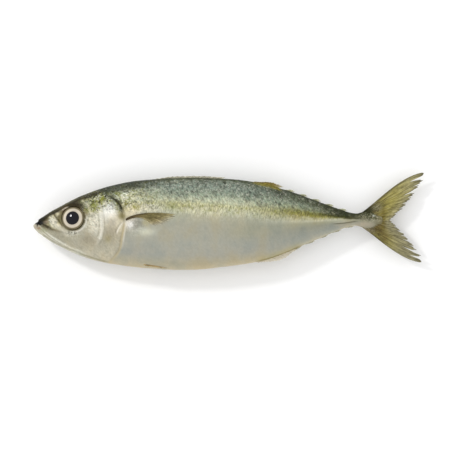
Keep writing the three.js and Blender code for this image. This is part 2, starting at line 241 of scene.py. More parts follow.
def angle_at(station, level, side):
    """The angle of the skin at a level, on the left flank (side 1) or the right one (side -1)."""
    widest = widest_level_at(station)
    reach = np.where(level > widest, back_at(station) - widest, widest - belly_at(station))
    angle = np.arcsin(np.clip((level - widest) / reach, -1, 1))
    return angle if side > 0 else math.pi - angle


def smooth_path(points, count=120):
    """Points along a smooth curve through a few [station, level] points."""
    p = np.array(points, float)
    along = np.concatenate([[0], np.cumsum(np.hypot(*np.diff(p, axis=0).T))])
    at = np.linspace(0, along[-1], count)
    return np.stack([through(np.stack([along, p[:, k]], -1))(at) for k in (0, 1)], -1)


def moved(points, along, up):
    """A line of the side view moved towards the tail and towards the back."""
    return [[station + along, level + up] for station, level in points]


def uneven(points, size, seed):
    """Smooth noise from -1 to 1 with features of that size, at points in millimetres."""
    shift = Vector((seed * 17.3, seed * 5.7, seed * 9.1))
    return np.array([noise.noise(Vector(p) / size + shift) for p in points])


def eye_seat(side):
    """The middle of an eyeball's rim, and the way that it looks."""
    angle = float(angle_at(EYE_STATION, EYE_LEVEL, side))
    centre = Vector(skin(EYE_STATION, angle, -EYE_SINK))
    along = Vector(skin(EYE_STATION + 1, angle)) - Vector(skin(EYE_STATION - 1, angle))
    across = Vector(skin(EYE_STATION, angle + 0.05)) - Vector(skin(EYE_STATION, angle - 0.05))
    return centre, along.cross(across).normalized()


# ---- Lines and places of the side view --------------------------------------------------------------


class SideView:
    """Places of the side view, with their distances from the lines of the head, in millimetres.

    A distance is positive on the right of its line, as the line runs, and each share is 0 to 1 along it.
    """

    def __init__(self, station, level):
        self.station, self.level = station, level
        behind, self.gill_share = self.measure(smooth_path(GILL_EDGE), 25, 75)
        self.behind_gill = np.where(station > 75, 99, -behind)
        self.cheek, self.cheek_share = self.measure(self.curve(CHEEK_LINE), 30, 52)
        self.gape, self.gape_share = self.measure(self.curve(GAPE), -1, 34)
        self.lip_top, self.lip_share = self.measure(self.curve(LIP_TOP), 1, 34)
        turn_x, turn_y = station - EYE_STATION, level - EYE_LEVEL
        self.from_eye = np.hypot(turn_x, turn_y)
        self.eye_turn = np.arctan2(turn_y, turn_x)

    @staticmethod
    def curve(points):
        return bezier(points, np.linspace(0, 1, 50))

    def measure(self, path, low, high):
        """Signed distances from a path and shares along it, worked out only between two stations."""
        near = (self.station > low) & (self.station < high)
        where = np.stack([self.station[near], self.level[near]], -1)
        best = np.full(len(where), np.inf)
        side = np.ones(len(where))
        at = np.zeros(len(where))
        for i, (a, b) in enumerate(zip(path[:-1], path[1:])):
            step = b - a
            t = np.clip((where - a) @ step / (step @ step), 0, 1)
            away = where - a - t[:, None] * step
            distance = np.hypot(*away.T)
            nearer = distance < best
            best = np.where(nearer, distance, best)
            side = np.where(nearer, np.sign(step[1] * away[:, 0] - step[0] * away[:, 1]), side)
            at = np.where(nearer, (i + t) / (len(path) - 1), at)
        signed = np.full(len(self.station), 99.0)
        share = np.zeros(len(self.station))
        signed[near] = best * np.where(side == 0, 1, side)
        share[near] = at
        return signed, share

    def stroke(self, points, width, fade=0.2):
        """A soft line along a Bezier curve that fades at its two ends."""
        low, high = min(p[0] for p in points) - 6, max(p[0] for p in points) + 6
        distance, share = self.measure(self.curve(points), low, high)
        return bell(distance, width) * ends_fade(share, fade, fade)

    def spot(self, centre, reach, power=2.0):
        """A soft patch: 1 at its centre and nearly nothing past its reach along the two directions."""
        x = (self.station - centre[0]) / reach[0]
        y = (self.level - centre[1]) / reach[1]
        return np.exp(-1.6 * (x**2 + y**2) ** (power / 2))


def inside_lip(view):
    """How deep a place lies in the bone of the upper jaw, in millimetres. It is 0 outside."""
    inside = (view.gape < 0) & (view.lip_top > 0) & (view.station > 3) & (view.station < 31)
    return np.minimum(-view.gape, view.lip_top) * inside


def relief(view, sizes):
    """How far the skin stands out of the bare body, in millimetres."""
    station, level = view.station, view.level
    widest = widest_level_at(station)
    lift = np.zeros(len(station))

    # The gill cover rises to its rear edge, later near the nape, and a crease lies behind it.
    fade = ends_fade(view.gill_share, 0.2, 0.17)
    top = fall(view.gill_share, 0.32, 0.54)
    up = np.clip((level - widest) / (back_at(station) - widest), 0, 1)
    cover = ease(station, 28 + 20 * up, 52) * ease(-view.behind_gill, 0, 1.3) * (view.behind_gill < 0)
    lift += sizes.gill_lift / MM * cover * fade * lerp(0.4, 1.0, top)
    lift -= lerp(0.16, 0.9, top) * bell(view.behind_gill - 0.5, 0.65) * fade
    lift += 0.15 * bell(view.behind_gill - 1.9, 0.9) * fade * (1 - top)

    # A soft ridge stands in front of the line that parts the cheek from the cover.
    fade = ends_fade(view.cheek_share, 0.12, 0.5)
    lift -= 0.22 * bell(view.cheek - 0.3, 0.7) * fade
    lift += 0.22 * bell(view.cheek - 1.8, 1.1) * fade

    # The jaws.
    fade = span(view.gape_share, 0, 0.03, 0.7, 1)
    lift -= lerp(0.9, 0.45, ease(view.gape_share, 0.1, 0.5)) * bell(view.gape, 0.5) * fade
    lift += 0.25 * bell(view.gape - 1.3, 0.8) * fade
    lift += 0.45 * ease(inside_lip(view), 0, 1.0) * fall(station, 20, 30)
    lift -= 0.25 * view.stroke(JAW_LINE, 0.5)
    lift -= 0.2 * view.stroke(SNOUT_LINE, 0.9)
    for nostril in NOSTRILS:
        lift -= 0.5 * view.spot(nostril, (0.9, 0.6))

    # The socket, and the thick clear lid round it.
    radius = sizes.eye_radius / MM
    lid = 1 + 0.35 * np.cos(view.eye_turn - 0.6)
    lift -= 3.0 * fall(view.from_eye, radius - 0.5, radius + 0.35)
    lift += 0.3 * bell(view.from_eye - radius - 1.7, 0.8) * lid

    # The fleshy base of the fin behind the cover.
    lift += 1.3 * view.spot(PECTORAL_BASE, (5.6, 3.6), 2.6)

    # The side line, and the low keels in front of the tail.
    side_line = level - lerp(back_at(station), stripe_at(station), 0.62)
    lift += 0.07 * bell(side_line, 0.5) * span(station, 58, 68, 180, 200)
    keel = level - lerp(-1.9, 0.5, ease(station, 184, 204))
    lift += 0.32 * bell(keel - 0.5, 0.6) * span(station, 182, 194, 204, 210)
    return lift


# ---- Colours of the skin ----------------------------------------------------------------------------

# Across the trunk, from -1 at the belly over 0 at the stripe to 1 at the ridge of the back.
# Near the belly's edge the stops are lighter, and at the ridge darker, to offset the shade and light there.
FRONT_COLOURS = [
    [-1, "#cdc1a2"], [-0.9, "#b9b29a"], [-0.78, "#afad9f"], [-0.6, "#adac9e"], [-0.3, "#acaa99"],
    [-0.18, "#b5b29b"], [-0.08, "#cbc8a9"], [0.04, "#bebb93"], [0.18, "#babb9f"], [0.4, "#8d9581"],
    [0.68, "#7f887b"], [0.88, "#747c6e"], [0.95, "#50553f"], [1, "#3a3f2c"],
]
REAR_COLOURS = [
    [-1, "#cdc5a9"], [-0.88, "#b9b6a4"], [-0.7, "#a7a799"], [-0.45, "#9b9b8a"], [-0.3, "#a5a48b"],
    [-0.22, "#c0bea4"], [-0.15, "#b4b08a"], [-0.05, "#938e50"], [0.14, "#86834c"], [0.27, "#8b8f6f"],
    [0.45, "#888f79"], [0.75, "#565b46"], [0.9, "#4a4f3c"], [1, "#2f3324"],
]
# The rear of the head, by level.
HEAD_COLOURS = [
    [-26, "#cdc5ad"], [-16, "#bab49f"], [-12, "#b6b09c"], [-9, "#bbb5a0"], [-6, "#cdc5ae"],
    [-2, "#dbd4bd"], [1, "#dad3bc"], [4, "#c8c2aa"], [7, "#bab592"], [9.5, "#a9a57c"],
    [12, "#938f60"], [14.5, "#8a8960"], [17, "#75765a"], [21, "#5d5f49"],
]


FILM_CLEARNESS = 0.82
FILM_SHEEN = 0.0065
FLECKS = ("mottle", "hatch", "dark", "pale", "gold", "salt")


def colour(code):
    """A colour from its usual six-digit code, as the linear numbers that the shaders take."""
    parts = np.array([int(code[i : i + 2], 16) / 255 for i in (1, 3, 5)])
    return np.where(parts > 0.04045, ((parts + 0.055) / 1.055) ** 2.4, parts / 12.92)


def pigment(code):
    """The colour that, under the wet film and in studio light, is seen as the one with that code."""
    return np.maximum(colour(code) * FILM_CLEARNESS - FILM_SHEEN, 0.003)


def ramp(value, stops):
    """Colours for values that run along a row of [value, code] stops."""
    at = [stop[0] for stop in stops]
    colours = np.array([pigment(stop[1]) for stop in stops])
    return np.stack([np.interp(value, at, colours[:, k]) for k in range(3)], -1)


class Paint:
    """The colours at the vertices of a piece, laid one over another, and the strength of its flecks."""

    def __init__(self, colours):
        self.colours = colours
        self.flecks = {name: np.zeros(len(colours)) for name in FLECKS}

    def lay(self, code, share):
        """Lays a colour over what is there, as strongly as its share."""
        self.colours = lerp(self.colours, pigment(code), np.clip(share, 0, 1)[:, None])

    def fleck(self, name, share):
        """Brings one kind of fleck up to that strength."""
        self.flecks[name] = np.clip(np.maximum(self.flecks[name], share), 0, 1)

    def calm(self, names, share):
        """Takes that share of some kinds of fleck away."""
        for name in names:
            self.flecks[name] *= 1 - share

    def patches(self, view, rows, where=1.0):
        """Soft patches, as rows of a colour or a kind of fleck, its strength, middle, reach and firmness."""
        for kind, strength, centre, reach, *firmness in rows:
            put = self.fleck if kind in FLECKS else self.lay
            put(kind, strength * view.spot(centre, reach, *firmness) * where)

    def keep(self, piece):
        """Gives the colours and the flecks to a piece, for its finish to read."""
        layer = piece.data.attributes.new("paint", "FLOAT_COLOR", "POINT")
        rows = np.concatenate([self.colours, np.ones((len(self.colours), 1))], 1)
        layer.data.foreach_set("color", rows.astype(np.float32).ravel())
        for name, share in self.flecks.items():
            attribute(piece, name, share)


def paint_trunk(view, blur):
    """A mottled blue-green back, a hatched yellow-green stripe and a plain silver flank."""
    station, level = view.station, view.level
    stripe = stripe_at(station)
    depth = back_at(station) - level
    above = (level - stripe) / (back_at(station) - stripe)
    below = (level - stripe) / (stripe - belly_at(station))
    across = np.where(level > stripe, above, below) + 0.06 * blur * ease(level - stripe, -3, 1)
    rear = ease(station, 122, 174)
    paint = Paint(lerp(ramp(across, FRONT_COLOURS), ramp(across, REAR_COLOURS), rear[:, None]))
    paint.lay("#34372a", 0.85 * fall(depth, 1.2, 2.6) * fall(station, 66, 92))

    # The tail stalk is pale under the stripe and dark above it.
    low = 0.22 * ease(station, 184, 196)
    paint.lay("#c4bfa2", 0.6 * span(station, 178, 186, 188, 195) * bell(across + 0.22, 0.1))
    paint.lay("#30331f", 0.92 * ease(station, 164, 188) * ease(across + low, -0.12, 0.1))

    # The skin at the roots of the second fin of the back and of the fin behind the vent.
    paint.lay("#857a35", 0.9 * fall(depth, 1.0, 2.0) * span(station, 133, 138, 150, 154))
    paint.lay("#4b5039", 0.7 * bell(depth - 2.4, 0.7) * span(station, 128, 132, 150, 156))
    paint.lay("#b3aa80", 0.6 * view.stroke(moved(BELLY_FIN_ROOT, 0, 1), 1.6))
    paint.lay("#8c8145", 0.85 * view.stroke(BELLY_FIN_ROOT, 0.45))
    paint.lay("#aaa68a", 0.55 * view.spot((132, -5.5), (17, 7), 2.4))

    keel = fall(station, 190, 197)
    paint.lay("#c3bea6", 0.6 * keel * view.stroke(moved(KEEL_LINE, 0, 0.8), 0.6))
    paint.lay("#b5ac96", 0.5 * keel * view.stroke(moved(KEEL_LINE, 0, -1.1), 0.9))
    paint.lay("#68634a", 0.85 * view.stroke(KEEL_LINE, 0.35))

    paint.fleck("mottle", np.maximum(ease(across, -0.12, 0.3), 0.1))
    paint.fleck("hatch", bell(across - 0.02, lerp(0.17, 0.26, rear)) * ease(across, -0.35, -0.15))
    paint.fleck("dark", lerp(0.35, 0.45, rear) * ease(across, 0.25, 0.6))
    paint.fleck("dark", lerp(0.0, 0.4, rear) * bell(across - 0.05, 0.13))
    paint.fleck("pale", lerp(0.42, 0.3, rear) * span(across, 0.12, 0.4, 0.88, 0.97))
    paint.fleck("pale", 0.3 * bell(across + 0.12, 0.09))
    paint.fleck("gold", lerp(0.6, 0.45, rear) * bell(across - 0.01, 0.12))
    paint.fleck("salt", 0.4 * ends_fade((station - 166) / 26, 0.4, 0.3) * bell(across - 0.36, 0.28))
    paint.fleck("salt", 0.6 * bell(depth - 2.3, 1.0) * ends_fade((station - 76) / 26, 0.2, 0.5))
    paint.calm(("pale", "gold", "hatch"), 0.8 * ease(station, 176, 190) * ease(across, -0.15, 0.05))
    return paint


SHOULDER_PATCHES = [
    ["#e2dabc", 0.95, [69, 7.1], [13, 3.6], 3],
    ["#d6cfb0", 0.6, [58, 5.4], [4, 4], 3],
    ["#e2dcc4", 0.8, [61, 4.6], [6, 2.2], 3],
    ["#8b883a", 0.85, [57, 10.2], [2.4, 2.6], 2.6],
    ["#a6a05a", 0.8, [63.6, 8.6], [3, 1.9], 2.6],
    ["pale", 0.7, [65, 6.2], [11, 3], 3],
    ["dark", 0.35, [65, 6.2], [11, 3], 3],
    ["dark", 0.5, [70, 8.6], [20, 3.6], 3],
]
# Laid over the dark under the ridge.
HIGH_SHOULDER_PATCHES = [
    ["#727534", 0.95, [51.6, 15.8], [3.2, 2.2], 3],
    ["#ecebd9", 0.9, [56.4, 15.8], [2.3, 2.2], 3],
    ["#8f9058", 0.6, [62.2, 17.2], [2, 1.6], 3],
    ["#a09d62", 0.7, [86, 9.2], [7, 3]],
]
# On the fleshy base of the pectoral fin: its pale colour, a painted highlight and, behind it, painted shade.
PECTORAL_BASE_PATCHES = [
    ["#c9c4b8", 0.9, [62, -1.8], [6.4, 4.8], 3],
    ["#f8f4ec", 0.95, [59.2, -2.1], [3.2, 2.6], 3],
    ["#918f80", 0.75, [64.8, -1.8], [3.6, 3.6], 2.6],
    ["#b3ab83", 0.7, [69.4, -1.0], [3, 3], 3],
    ["#d6d8c6", 0.85, [69.2, -6.6], [7, 3]],
    ["#a8a598", 0.4, [62, -18], [8, 5]],
    ["pale", 0.5, [62, -3], [9, 6], 3],
    ["dark", 0.25, [62, -3], [7, 6], 3],
    ["mottle", 0.3, [63, -4], [9, 7], 3],
]


def paint_shoulder(view, paint):
    """Flecks, cream and olive behind the gill cover; a painted highlight and shade on the fin's base."""
    station, level = view.station, view.level
    depth = back_at(station) - level
    near = fall(station, 58, 86)
    paint.patches(view, SHOULDER_PATCHES)
    for name, strength in (("dark", 0.7), ("pale", 0.75), ("gold", 0.6)):
        paint.fleck(name, strength * near * ease(level, 5, 9))
    dark = fall(depth, 4.4, 5.8) * fall(station, 60, 84)
    paint.lay("#42463a", 0.95 * dark)
    paint.lay("#c8c39e", 0.75 * bell(depth - 9, 3.4) * near)
    paint.patches(view, HIGH_SHOULDER_PATCHES)
    paint.calm(("pale", "gold"), 0.85 * dark)
    # The fin's base, with its painted highlight and painted shade.
    paint.patches(view, PECTORAL_BASE_PATCHES)


JAW_PATCHES = [
    ["#b6b09b", 0.85, [21, -10.5], [13, 4.2]],
    ["#9a9482", 0.7, [34, -11.5], [6, 4.5]],
]
JAW_TIP_PATCHES = [
    ["#a3a284", 0.8, [6.4, -5.2], [3.8, 2.6], 3],
    ["#a79c8b", 0.8, [1.6, -3.6], [2.2, 2.2], 3],
    ["#a07d5c", 0.7, [3.4, -4.5], [1.4, 1.0], 3],
]
# These stop at the upper lip.
# The near-white patch on the bone in front of the eye is partly its pale colour, partly a painted highlight.
SNOUT_PATCHES = [
    ["#b5a983", 0.95, [12, -0.6], [8, 6], 3],
    ["#554b32", 0.95, [7, 1], [3.8, 3.4], 3],
    ["#e2d9bb", 0.8, [11, 2.4], [1.8, 2], 3],
    ["#f7efd8", 0.9, [12.6, -0.9], [2.6, 2.8], 3],
    ["#efe6cc", 0.8, [14.6, -3.2], [3.4, 1.5], 3],
    ["dark", 0.5, [11, 0.4], [6, 4.8], 3],
    ["pale", 0.9, [11.6, -0.6], [4, 5], 3],
    ["gold", 0.2, [12, 0], [6.5, 5.5], 3],
]
EYE_FRONT_PATCHES = [
    ["#6b6041", 0.85, [17.2, 4.4], [2.6, 3.6], 3],
    ["#ded5b2", 0.9, [14.9, 4.2], [1.9, 1.2], 3],
]
CHEEK_PATCHES = [
    ["#e6dfca", 0.85, [40, -0.4], [5, 10], 3],
    ["dark", 0.35, [36.5, 0.4], [6.5, 9.5], 3],
    ["pale", 0.9, [36.5, 0.4], [6.5, 9.5], 3],
    ["mottle", 0.6, [36.5, 0.4], [6.5, 9.5], 3],
]
# The silver gill cover, near white where a painted sheen lies on it, and greyer below.
COVER_PATCHES = [
    ["#f5f2e8", 1, [47.2, 6.2], [5.6, 6.4], 3.2],
    ["#a9a391", 0.85, [47.8, -6.6], [5.4, 5.6], 3],
    ["#bfb9a9", 0.8, [48.5, -0.6], [4.4, 3], 3],
    ["#a0966f", 0.7, [46.2, -11.0], [3, 3.4]],
    ["dark", 0.55, [46.8, 9.4], [5, 4.5], 3],
]
NAPE_OLIVES = [
    ["#85873c", 0.85, [37.4, 9.6], [3.5, 3.2], 2.6],
    ["#84853c", 0.85, [32.6, 6.8], [2.2, 3.2], 2.6],
    ["#8a8a4a", 0.85, [30, 12.4], [3.6, 1.8], 2.6],
    ["#767536", 0.85, [42.5, 13.4], [3, 1.6], 2.6],
]
BROW = [[25.6, 10], [8.6, 3.4], 3]  # its middle, reach and firmness
# Black painted shadow in the opening of the mouth, between the tips of the jaws.
MOUTH_SHADOW_PATCHES = [
    ["#0c0b08", 1, [3.2, -1.4], [3.0, 1.3], 4],
    ["#0c0b08", 0.9, [4.8, -1.0], [2.2, 1.3], 3],
]


def paint_jaws(view, paint):
    """The grey of the cheeks, and the pale jaws with their fine lines."""
    station, gape = view.station, view.gape
    paint.patches(view, JAW_PATCHES)
    paint.lay("#a9a38d", 0.85 * ease(inside_lip(view), 0, 1.2) * fall(station, 18, 28))
    paint.lay("#dad6c2", ease(gape, 0.2, 0.9) * (station < 36) * fall(station, 26, 36))
    for code, strength, distance, width, start, end in (
        ("#e2decf", 0.8, 0.7, 0.4, 0.45, 0.15),
        ("#dcd7c6", 0.7, 2.2, 0.45, 0.35, 0.3),
        ("#8c866a", 0.7, 1.5, 0.3, 0.2, 0.4),
    ):
        paint.lay(code, strength * bell(gape - distance, width) * ends_fade(view.gape_share, start, end))
    paint.lay("#948e76", 0.7 * view.stroke(JAW_LINE, 0.6))
    paint.fleck("pale", 0.5 * bell(gape - 0.4, 1.4) * ends_fade(view.gape_share, 0.1, 0.2))
    paint.lay("#8e8866", 0.7 * view.stroke(THROAT_LINE, 0.5))
    paint.patches(view, JAW_TIP_PATCHES)


def paint_snout(view, paint):
    """In front of the eye, mottled cream and brown, with dark lines and the dark snout."""
    above_lip = view.lip_top < 0.6
    paint.patches(view, SNOUT_PATCHES, above_lip)
    paint.patches(view, EYE_FRONT_PATCHES)
    paint.lay("#d2cab4", 0.85 * view.stroke(CHEEK_BAND, 1.1))
    paint.lay("#564a2f", 0.95 * view.spot((16.2, 1.6), (1.5, 3.0), 3))
    paint.lay("#4f452b", 0.95 * view.stroke(SNOUT_LINE, 0.6, 0.15))
    paint.lay("#a8937b", 0.6 * view.spot((7.4, -0.7), (1.6, 0.9), 3))
    paint.lay("#5a5038", 0.85 * bell(view.lip_top, 0.9) * span(view.lip_share, 0, 0.02, 0.15, 0.6))


def paint_cheek(view, paint):
    """The cheek, the ridge behind it with a painted highlight, and the silver cover with a painted sheen."""
    paint.patches(view, CHEEK_PATCHES)
    cheek, share = view.cheek, view.cheek_share
    fade = ends_fade(share, 0.14, 0.5)
    upper = ends_fade(share, 0.3, 0.36) * (share < 0.7)
    # A dark line along the line itself, and a painted highlight along the soft ridge in front of it.
    for code, strength, distance, width, where in (
        ("#8a8571", 0.7, -0.1, 0.5, fade),
        ("#f4eede", 0.85, 1.5, 0.75, upper),
        ("#e6dfcc", 0.5, 1.6, 1.0, fade),
        ("#9a9279", 0.5, 3.2, 0.5, upper),
        ("#a39c86", 0.45, -1.2, 0.8, fade * ease(share, 0.3, 0.5)),
    ):
        paint.lay(code, strength * bell(cheek - distance, width) * where)
    paint.fleck("pale", 0.8 * bell(cheek - 1.6, 1.6) * upper)
    paint.patches(view, COVER_PATCHES)


def paint_nape(view, paint):
    """Olive, gold, white and black flecks on the nape."""
    nape = ease(view.level, 3.5, 7.5) * ease(view.station, 27, 34)
    for name, strength in (("dark", 1.0), ("pale", 0.85), ("gold", 0.95)):
        paint.fleck(name, strength * nape * (1 - view.spot((47.2, 5.4), (5.6, 6), 4)))
    paint.patches(view, NAPE_OLIVES)
    for _, _, *place in NAPE_OLIVES:
        paint.calm(["pale"], 0.65 * view.spot(*place))
        paint.calm(["dark"], 0.45 * view.spot(*place))
    streak = view.stroke(NAPE_STREAK, 0.9)
    paint.lay("#e0dabc", 0.7 * streak)
    paint.calm(("dark", "gold"), 0.5 * streak)
    paint.lay("#4a4b31", 0.85 * view.spot((45.6, 17.2), (6.4, 2.2), 3))


def paint_eye_rim(view, paint):
    """The dark ring round the eye, wider above and behind, and the pale lid's edge with a painted highlight.
    """
    wide = 0.5 + 0.5 * np.cos(view.eye_turn - 0.9)
    away = view.from_eye - EYE_RIM
    paint.lay("#857c5b", 0.7 * fall(away, 1.0 + 1.4 * wide, 2.2 + 1.8 * wide))
    behind = ease(np.cos(view.eye_turn + 0.3), -0.6, 0.4)
    paint.lay("#544b30", 0.9 * bell(away - 1.1, 0.5) * lerp(0.4, 1.0, behind))
    paint.lay("#483e26", 0.9 * fall(away, 1.2, 2.8) * ease(np.sin(view.eye_turn), 0.2, 0.8))
    # A painted highlight on the pale edge of the lid, behind and below the eye.
    paint.lay("#efe8d8", 0.9 * bell(away - 2.2, 0.5) * ease(np.cos(view.eye_turn + 0.75), 0.4, 0.85))
    paint.lay("#d6d0bc", 0.7 * view.spot((24, -8), (6, 1.8), 3))
    # Painted glints: pale flecks under the eye.
    paint.fleck("pale", view.spot((24.6, -7.8), (5, 2), 3))
    paint.fleck("dark", 0.6 * view.spot((24, -7.4), (5.4, 1.6), 3))
    paint.lay("#3a3524", 0.9 * view.stroke(EYE_DOTS, 0.45, 0.1) * ripple(view.station / 1.7))
    paint.lay("#8f8868", 0.6 * view.stroke(CHEEK_DOTS, 0.4, 0.1) * ripple(view.station / 1.4))


def paint_ridge(view, paint):
    """The plain dark ridge, the brow, the dark snout tip and the mouth, with painted highlight and shadow.
    """
    station = view.station
    depth = back_at(station) - view.level
    nape = ease(station, 28, 36)
    paint.lay("#5e5d45", 0.85 * fall(depth, 3, 4.6) * nape)
    paint.lay("#c3c2a2", 0.8 * bell(depth - 5.4, 1.0) * nape)
    ridge = fall(depth, 1.9, 3.7) * ease(station, 1.8, 2.4)
    paint.lay("#332d19", 0.97 * ridge)
    paint.lay("#5c5a43", 0.8 * fall(depth, 0.4, 1.9) * ease(station, 8, 16))
    brow = view.spot(*BROW)
    paint.lay("#352e14", 0.97 * brow * (view.from_eye > EYE_RIM) * ease(depth, 0.8, 2))
    paint.calm(("pale", "gold"), 0.85 * ridge)
    paint.calm(("pale", "gold"), brow)
    # Dark lines above and below the brow's line, and on it a thin painted highlight on the socket's rim.
    paint.lay("#453a22", 0.85 * view.stroke(moved(BROW_LINE, -0.7, 1.1), 0.8))
    paint.lay("#5c4a33", 0.8 * view.stroke(moved(BROW_LINE, 0.6, -0.9), 0.6))
    paint.lay("#d8c9b2", 0.8 * view.stroke(BROW_LINE, 0.3, 0.35))
    paint.lay("#2a271d", 0.95 * view.spot((5, 1.1), (2.8, 2.4), 3) * (view.gape < 0))
    # Painted shadow in the mouth's slit and, black, in its opening.
    paint.lay("#3a3422", 0.95 * view.stroke(MOUTH_LINE, 0.8))
    paint.patches(view, MOUTH_SHADOW_PATCHES)
    # Painted shade in the pits of the nostrils.
    for nostril in NOSTRILS:
        paint.lay("#2e2a20", 0.8 * view.spot(nostril, (1.2, 0.8)))


def paint_head(view):
    """Dark above, then olive and gold flecks over cream, silver gill covers, and grey-buff below."""
    station, level = view.station, view.level
    paint = Paint(ramp(level, HEAD_COLOURS))
    paint.fleck("mottle", 0.25 + 0.75 * ease(level, 4, 10))
    paint.fleck("mottle", 0.7 * view.spot((12, 0), (9, 8), 3))
    paint.lay("#b9b39c", 0.9 * fall(station, 26, 38) * ease(level, -14, -9))
    for layer in (paint_jaws, paint_snout, paint_cheek, paint_nape, paint_eye_rim, paint_ridge):
        layer(view, paint)
    return paint


def paint_gill_edge(view, paint):
    """Painted shadow, shade and highlight at the crease above; below it a buff rim between two fine lines.
    """
    behind, share = view.behind_gill, view.gill_share
    fade = ends_fade(share, 0.04, 0.14)
    top = fall(share, 0.29, 0.38)
    # Painted shadow in the crease, painted shade round its top and on the cover, a painted highlight behind
    # it.
    crease = bell(behind - 0.4, 1.05) * ease(share, 0.05, 0.15) * top
    paint.lay("#3f4429", 0.6 * bell(behind - 0.2, 2.0) * fade * fall(share, 0.1, 0.22))
    paint.lay("#cdd1bb", 0.75 * bell(behind - 2.4, 0.6) * span(share, 0.06, 0.14, 0.26, 0.34))
    paint.lay("#7b7d66", 0.75 * bell(behind + 1.4, 1.7) * fade * top)
    paint.lay("#2b2c1c", 0.97 * crease)
    paint.calm(("pale", "gold"), crease)
    low = fade * ease(-view.level, 0.2, 2.4)
    paint.lay("#c3b58f", 0.75 * bell(behind - 0.7, 0.6) * low)
    paint.lay("#a08f68", 0.45 * bell(behind + 0.15, 0.3) * low * ease(share, 0.5, 0.7))
    paint.lay("#dedacc", 0.75 * bell(behind - 1.7, 0.5) * low * fall(share, 0.62, 0.8))
    paint.lay("#8f8861", 0.95 * view.spot((54.6, 2.9), (2.8, 2.9), 3))
    # A thin white line on the lower cover, partly a painted highlight along its edge.
    paint.lay("#f0ede3", 0.95 * view.stroke(COVER_LINE, 0.32))
    paint.lay("#8c887a", 0.6 * view.stroke(moved(COVER_LINE, -1.1, 0.2), 0.5))


def paint_tail_root(view, paint, blur):
    """The dark back and the silver scales run out over the rays of the tail."""
    station, level = view.station, view.level
    out = ease(station + 1.6 * blur, 197, 206)
    paint.lay("#9d967c", 0.85 * out * fall(level, 0.4, 2.6))
    paint.lay("#5f5e48", 0.9 * ease(level + 0.5 * blur, 0.6, 2.0) * ease(station, 192, 200))
    paint.lay("#31351f", 0.9 * ease(level + 0.5 * blur, 2.4, 4.4) * ease(station, 188, 200))
    paint.lay("#bcae96", 0.8 * view.spot((204, -2.2), (6, 2.0), 3))
    paint.fleck("salt", 0.85 * view.spot((208, 2.0), (8, 4.2), 3))
    paint.fleck("dark", 0.3 * view.spot((205, 0.6), (8, 2.0), 3))
    paint.lay("#d8d4c3", 0.8 * view.spot((209.2, 3.2), (0.9, 0.7), 3))
    edge = 213.4 - 0.4 * np.abs(level - 0.5)
    paint.lay("#7d7656", 0.95 * ease(station + 2.6 * blur, edge - 4, edge + 1))


def paint_skin(station, level, points):
    """Paints any part of the skin.

    The head's colours end at the gill cover, and higher up they run into the back.
    """
    view = SideView(station, level)
    blur = uneven(points, 3.2, 3) + 0.6 * uneven(points, 1.3, 4)
    trunk = paint_trunk(view, blur)
    paint_shoulder(view, trunk)
    head = paint_head(view)
    above = ease(level, 12.5, 15)
    edge = lerp(-0.1, -2.0, above)
    share = fall(view.behind_gill, edge - 0.3, edge + lerp(0.3, 4, above))
    share = np.where(level > 13, np.minimum(share, fall(station, 40, 58)), share)
    paint = Paint(lerp(trunk.colours, head.colours, share[:, None]))
    for name in paint.flecks:
        paint.flecks[name] = lerp(trunk.flecks[name], head.flecks[name], share)
    paint_gill_edge(view, paint)
    paint_tail_root(view, paint, blur)
    return paint, view


# ---- Modelling helpers ------------------------------------------------------------------------------


def places(piece):
    """The vertices of a piece as rows."""
    co = np.empty(len(piece.data.vertices) * 3)
    piece.data.vertices.foreach_get("co", co)
    return co.reshape(-1, 3)


def move_to(piece, millimetres):
    """Moves the vertices of a piece to places in millimetres of the frame."""
    piece.data.vertices.foreach_set("co", (millimetres * MM).ravel())
    piece.data.update()


def attribute(piece, name, values):
    """Keeps a number for each vertex, for the piece's finish to read."""
    layer = piece.data.attributes.new(name, "FLOAT", "POINT")
    layer.data.foreach_set("value", np.asarray(values, np.float32))


def start_piece(name, add, **settings):
    """Adds one of Blender's primitives, with nothing else selected, and names it."""
    bpy.ops.object.select_all(action="DESELECT")
    add(location=(0, 0, 0), **settings)
    piece = bpy.context.object
    piece.name = name
    piece.data.name = name
    return piece


def start_ball(name, segments, rings):
    """A ball of radius 1, with its vertices as rows."""
    add = bpy.ops.mesh.primitive_uv_sphere_add
    piece = start_piece(name, add, segments=segments, ring_count=rings, radius=1)
    return piece, places(piece)


def thicken(piece, thickness, share):
    """Gives a sheet its thickness, which is a share of the whole at each vertex."""
    group = piece.vertex_groups.new(name="thickness")
    for index, value in enumerate(share):
        group.add([index], float(value), "REPLACE")
    wall = piece.modifiers.new("Thickness", "SOLIDIFY")
    wall.thickness = thickness
    wall.offset = 0
    wall.vertex_group = group.name
    wall.thickness_vertex_group = 0.02
    bpy.context.view_layer.objects.active = piece
    bpy.ops.object.modifier_apply(modifier=wall.name)
    piece.vertex_groups.clear()


def face_out(piece):
    """Turns every face of a closed piece outwards."""
    bpy.ops.object.select_all(action="DESELECT")
    piece.select_set(True)
    bpy.context.view_layer.objects.active = piece
    bpy.ops.object.mode_set(mode="EDIT")
    bpy.ops.mesh.select_all(action="SELECT")
    bpy.ops.mesh.normals_make_consistent(inside=False)
    bpy.ops.object.mode_set(mode="OBJECT")


def finish_piece(piece, material, node):
    """Smooths a piece, gives it its finish and joins it to the frame."""
    face_out(piece)
    bpy.ops.object.shade_smooth()
    piece.data.materials.append(material)
    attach(piece, "root")
    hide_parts(node)


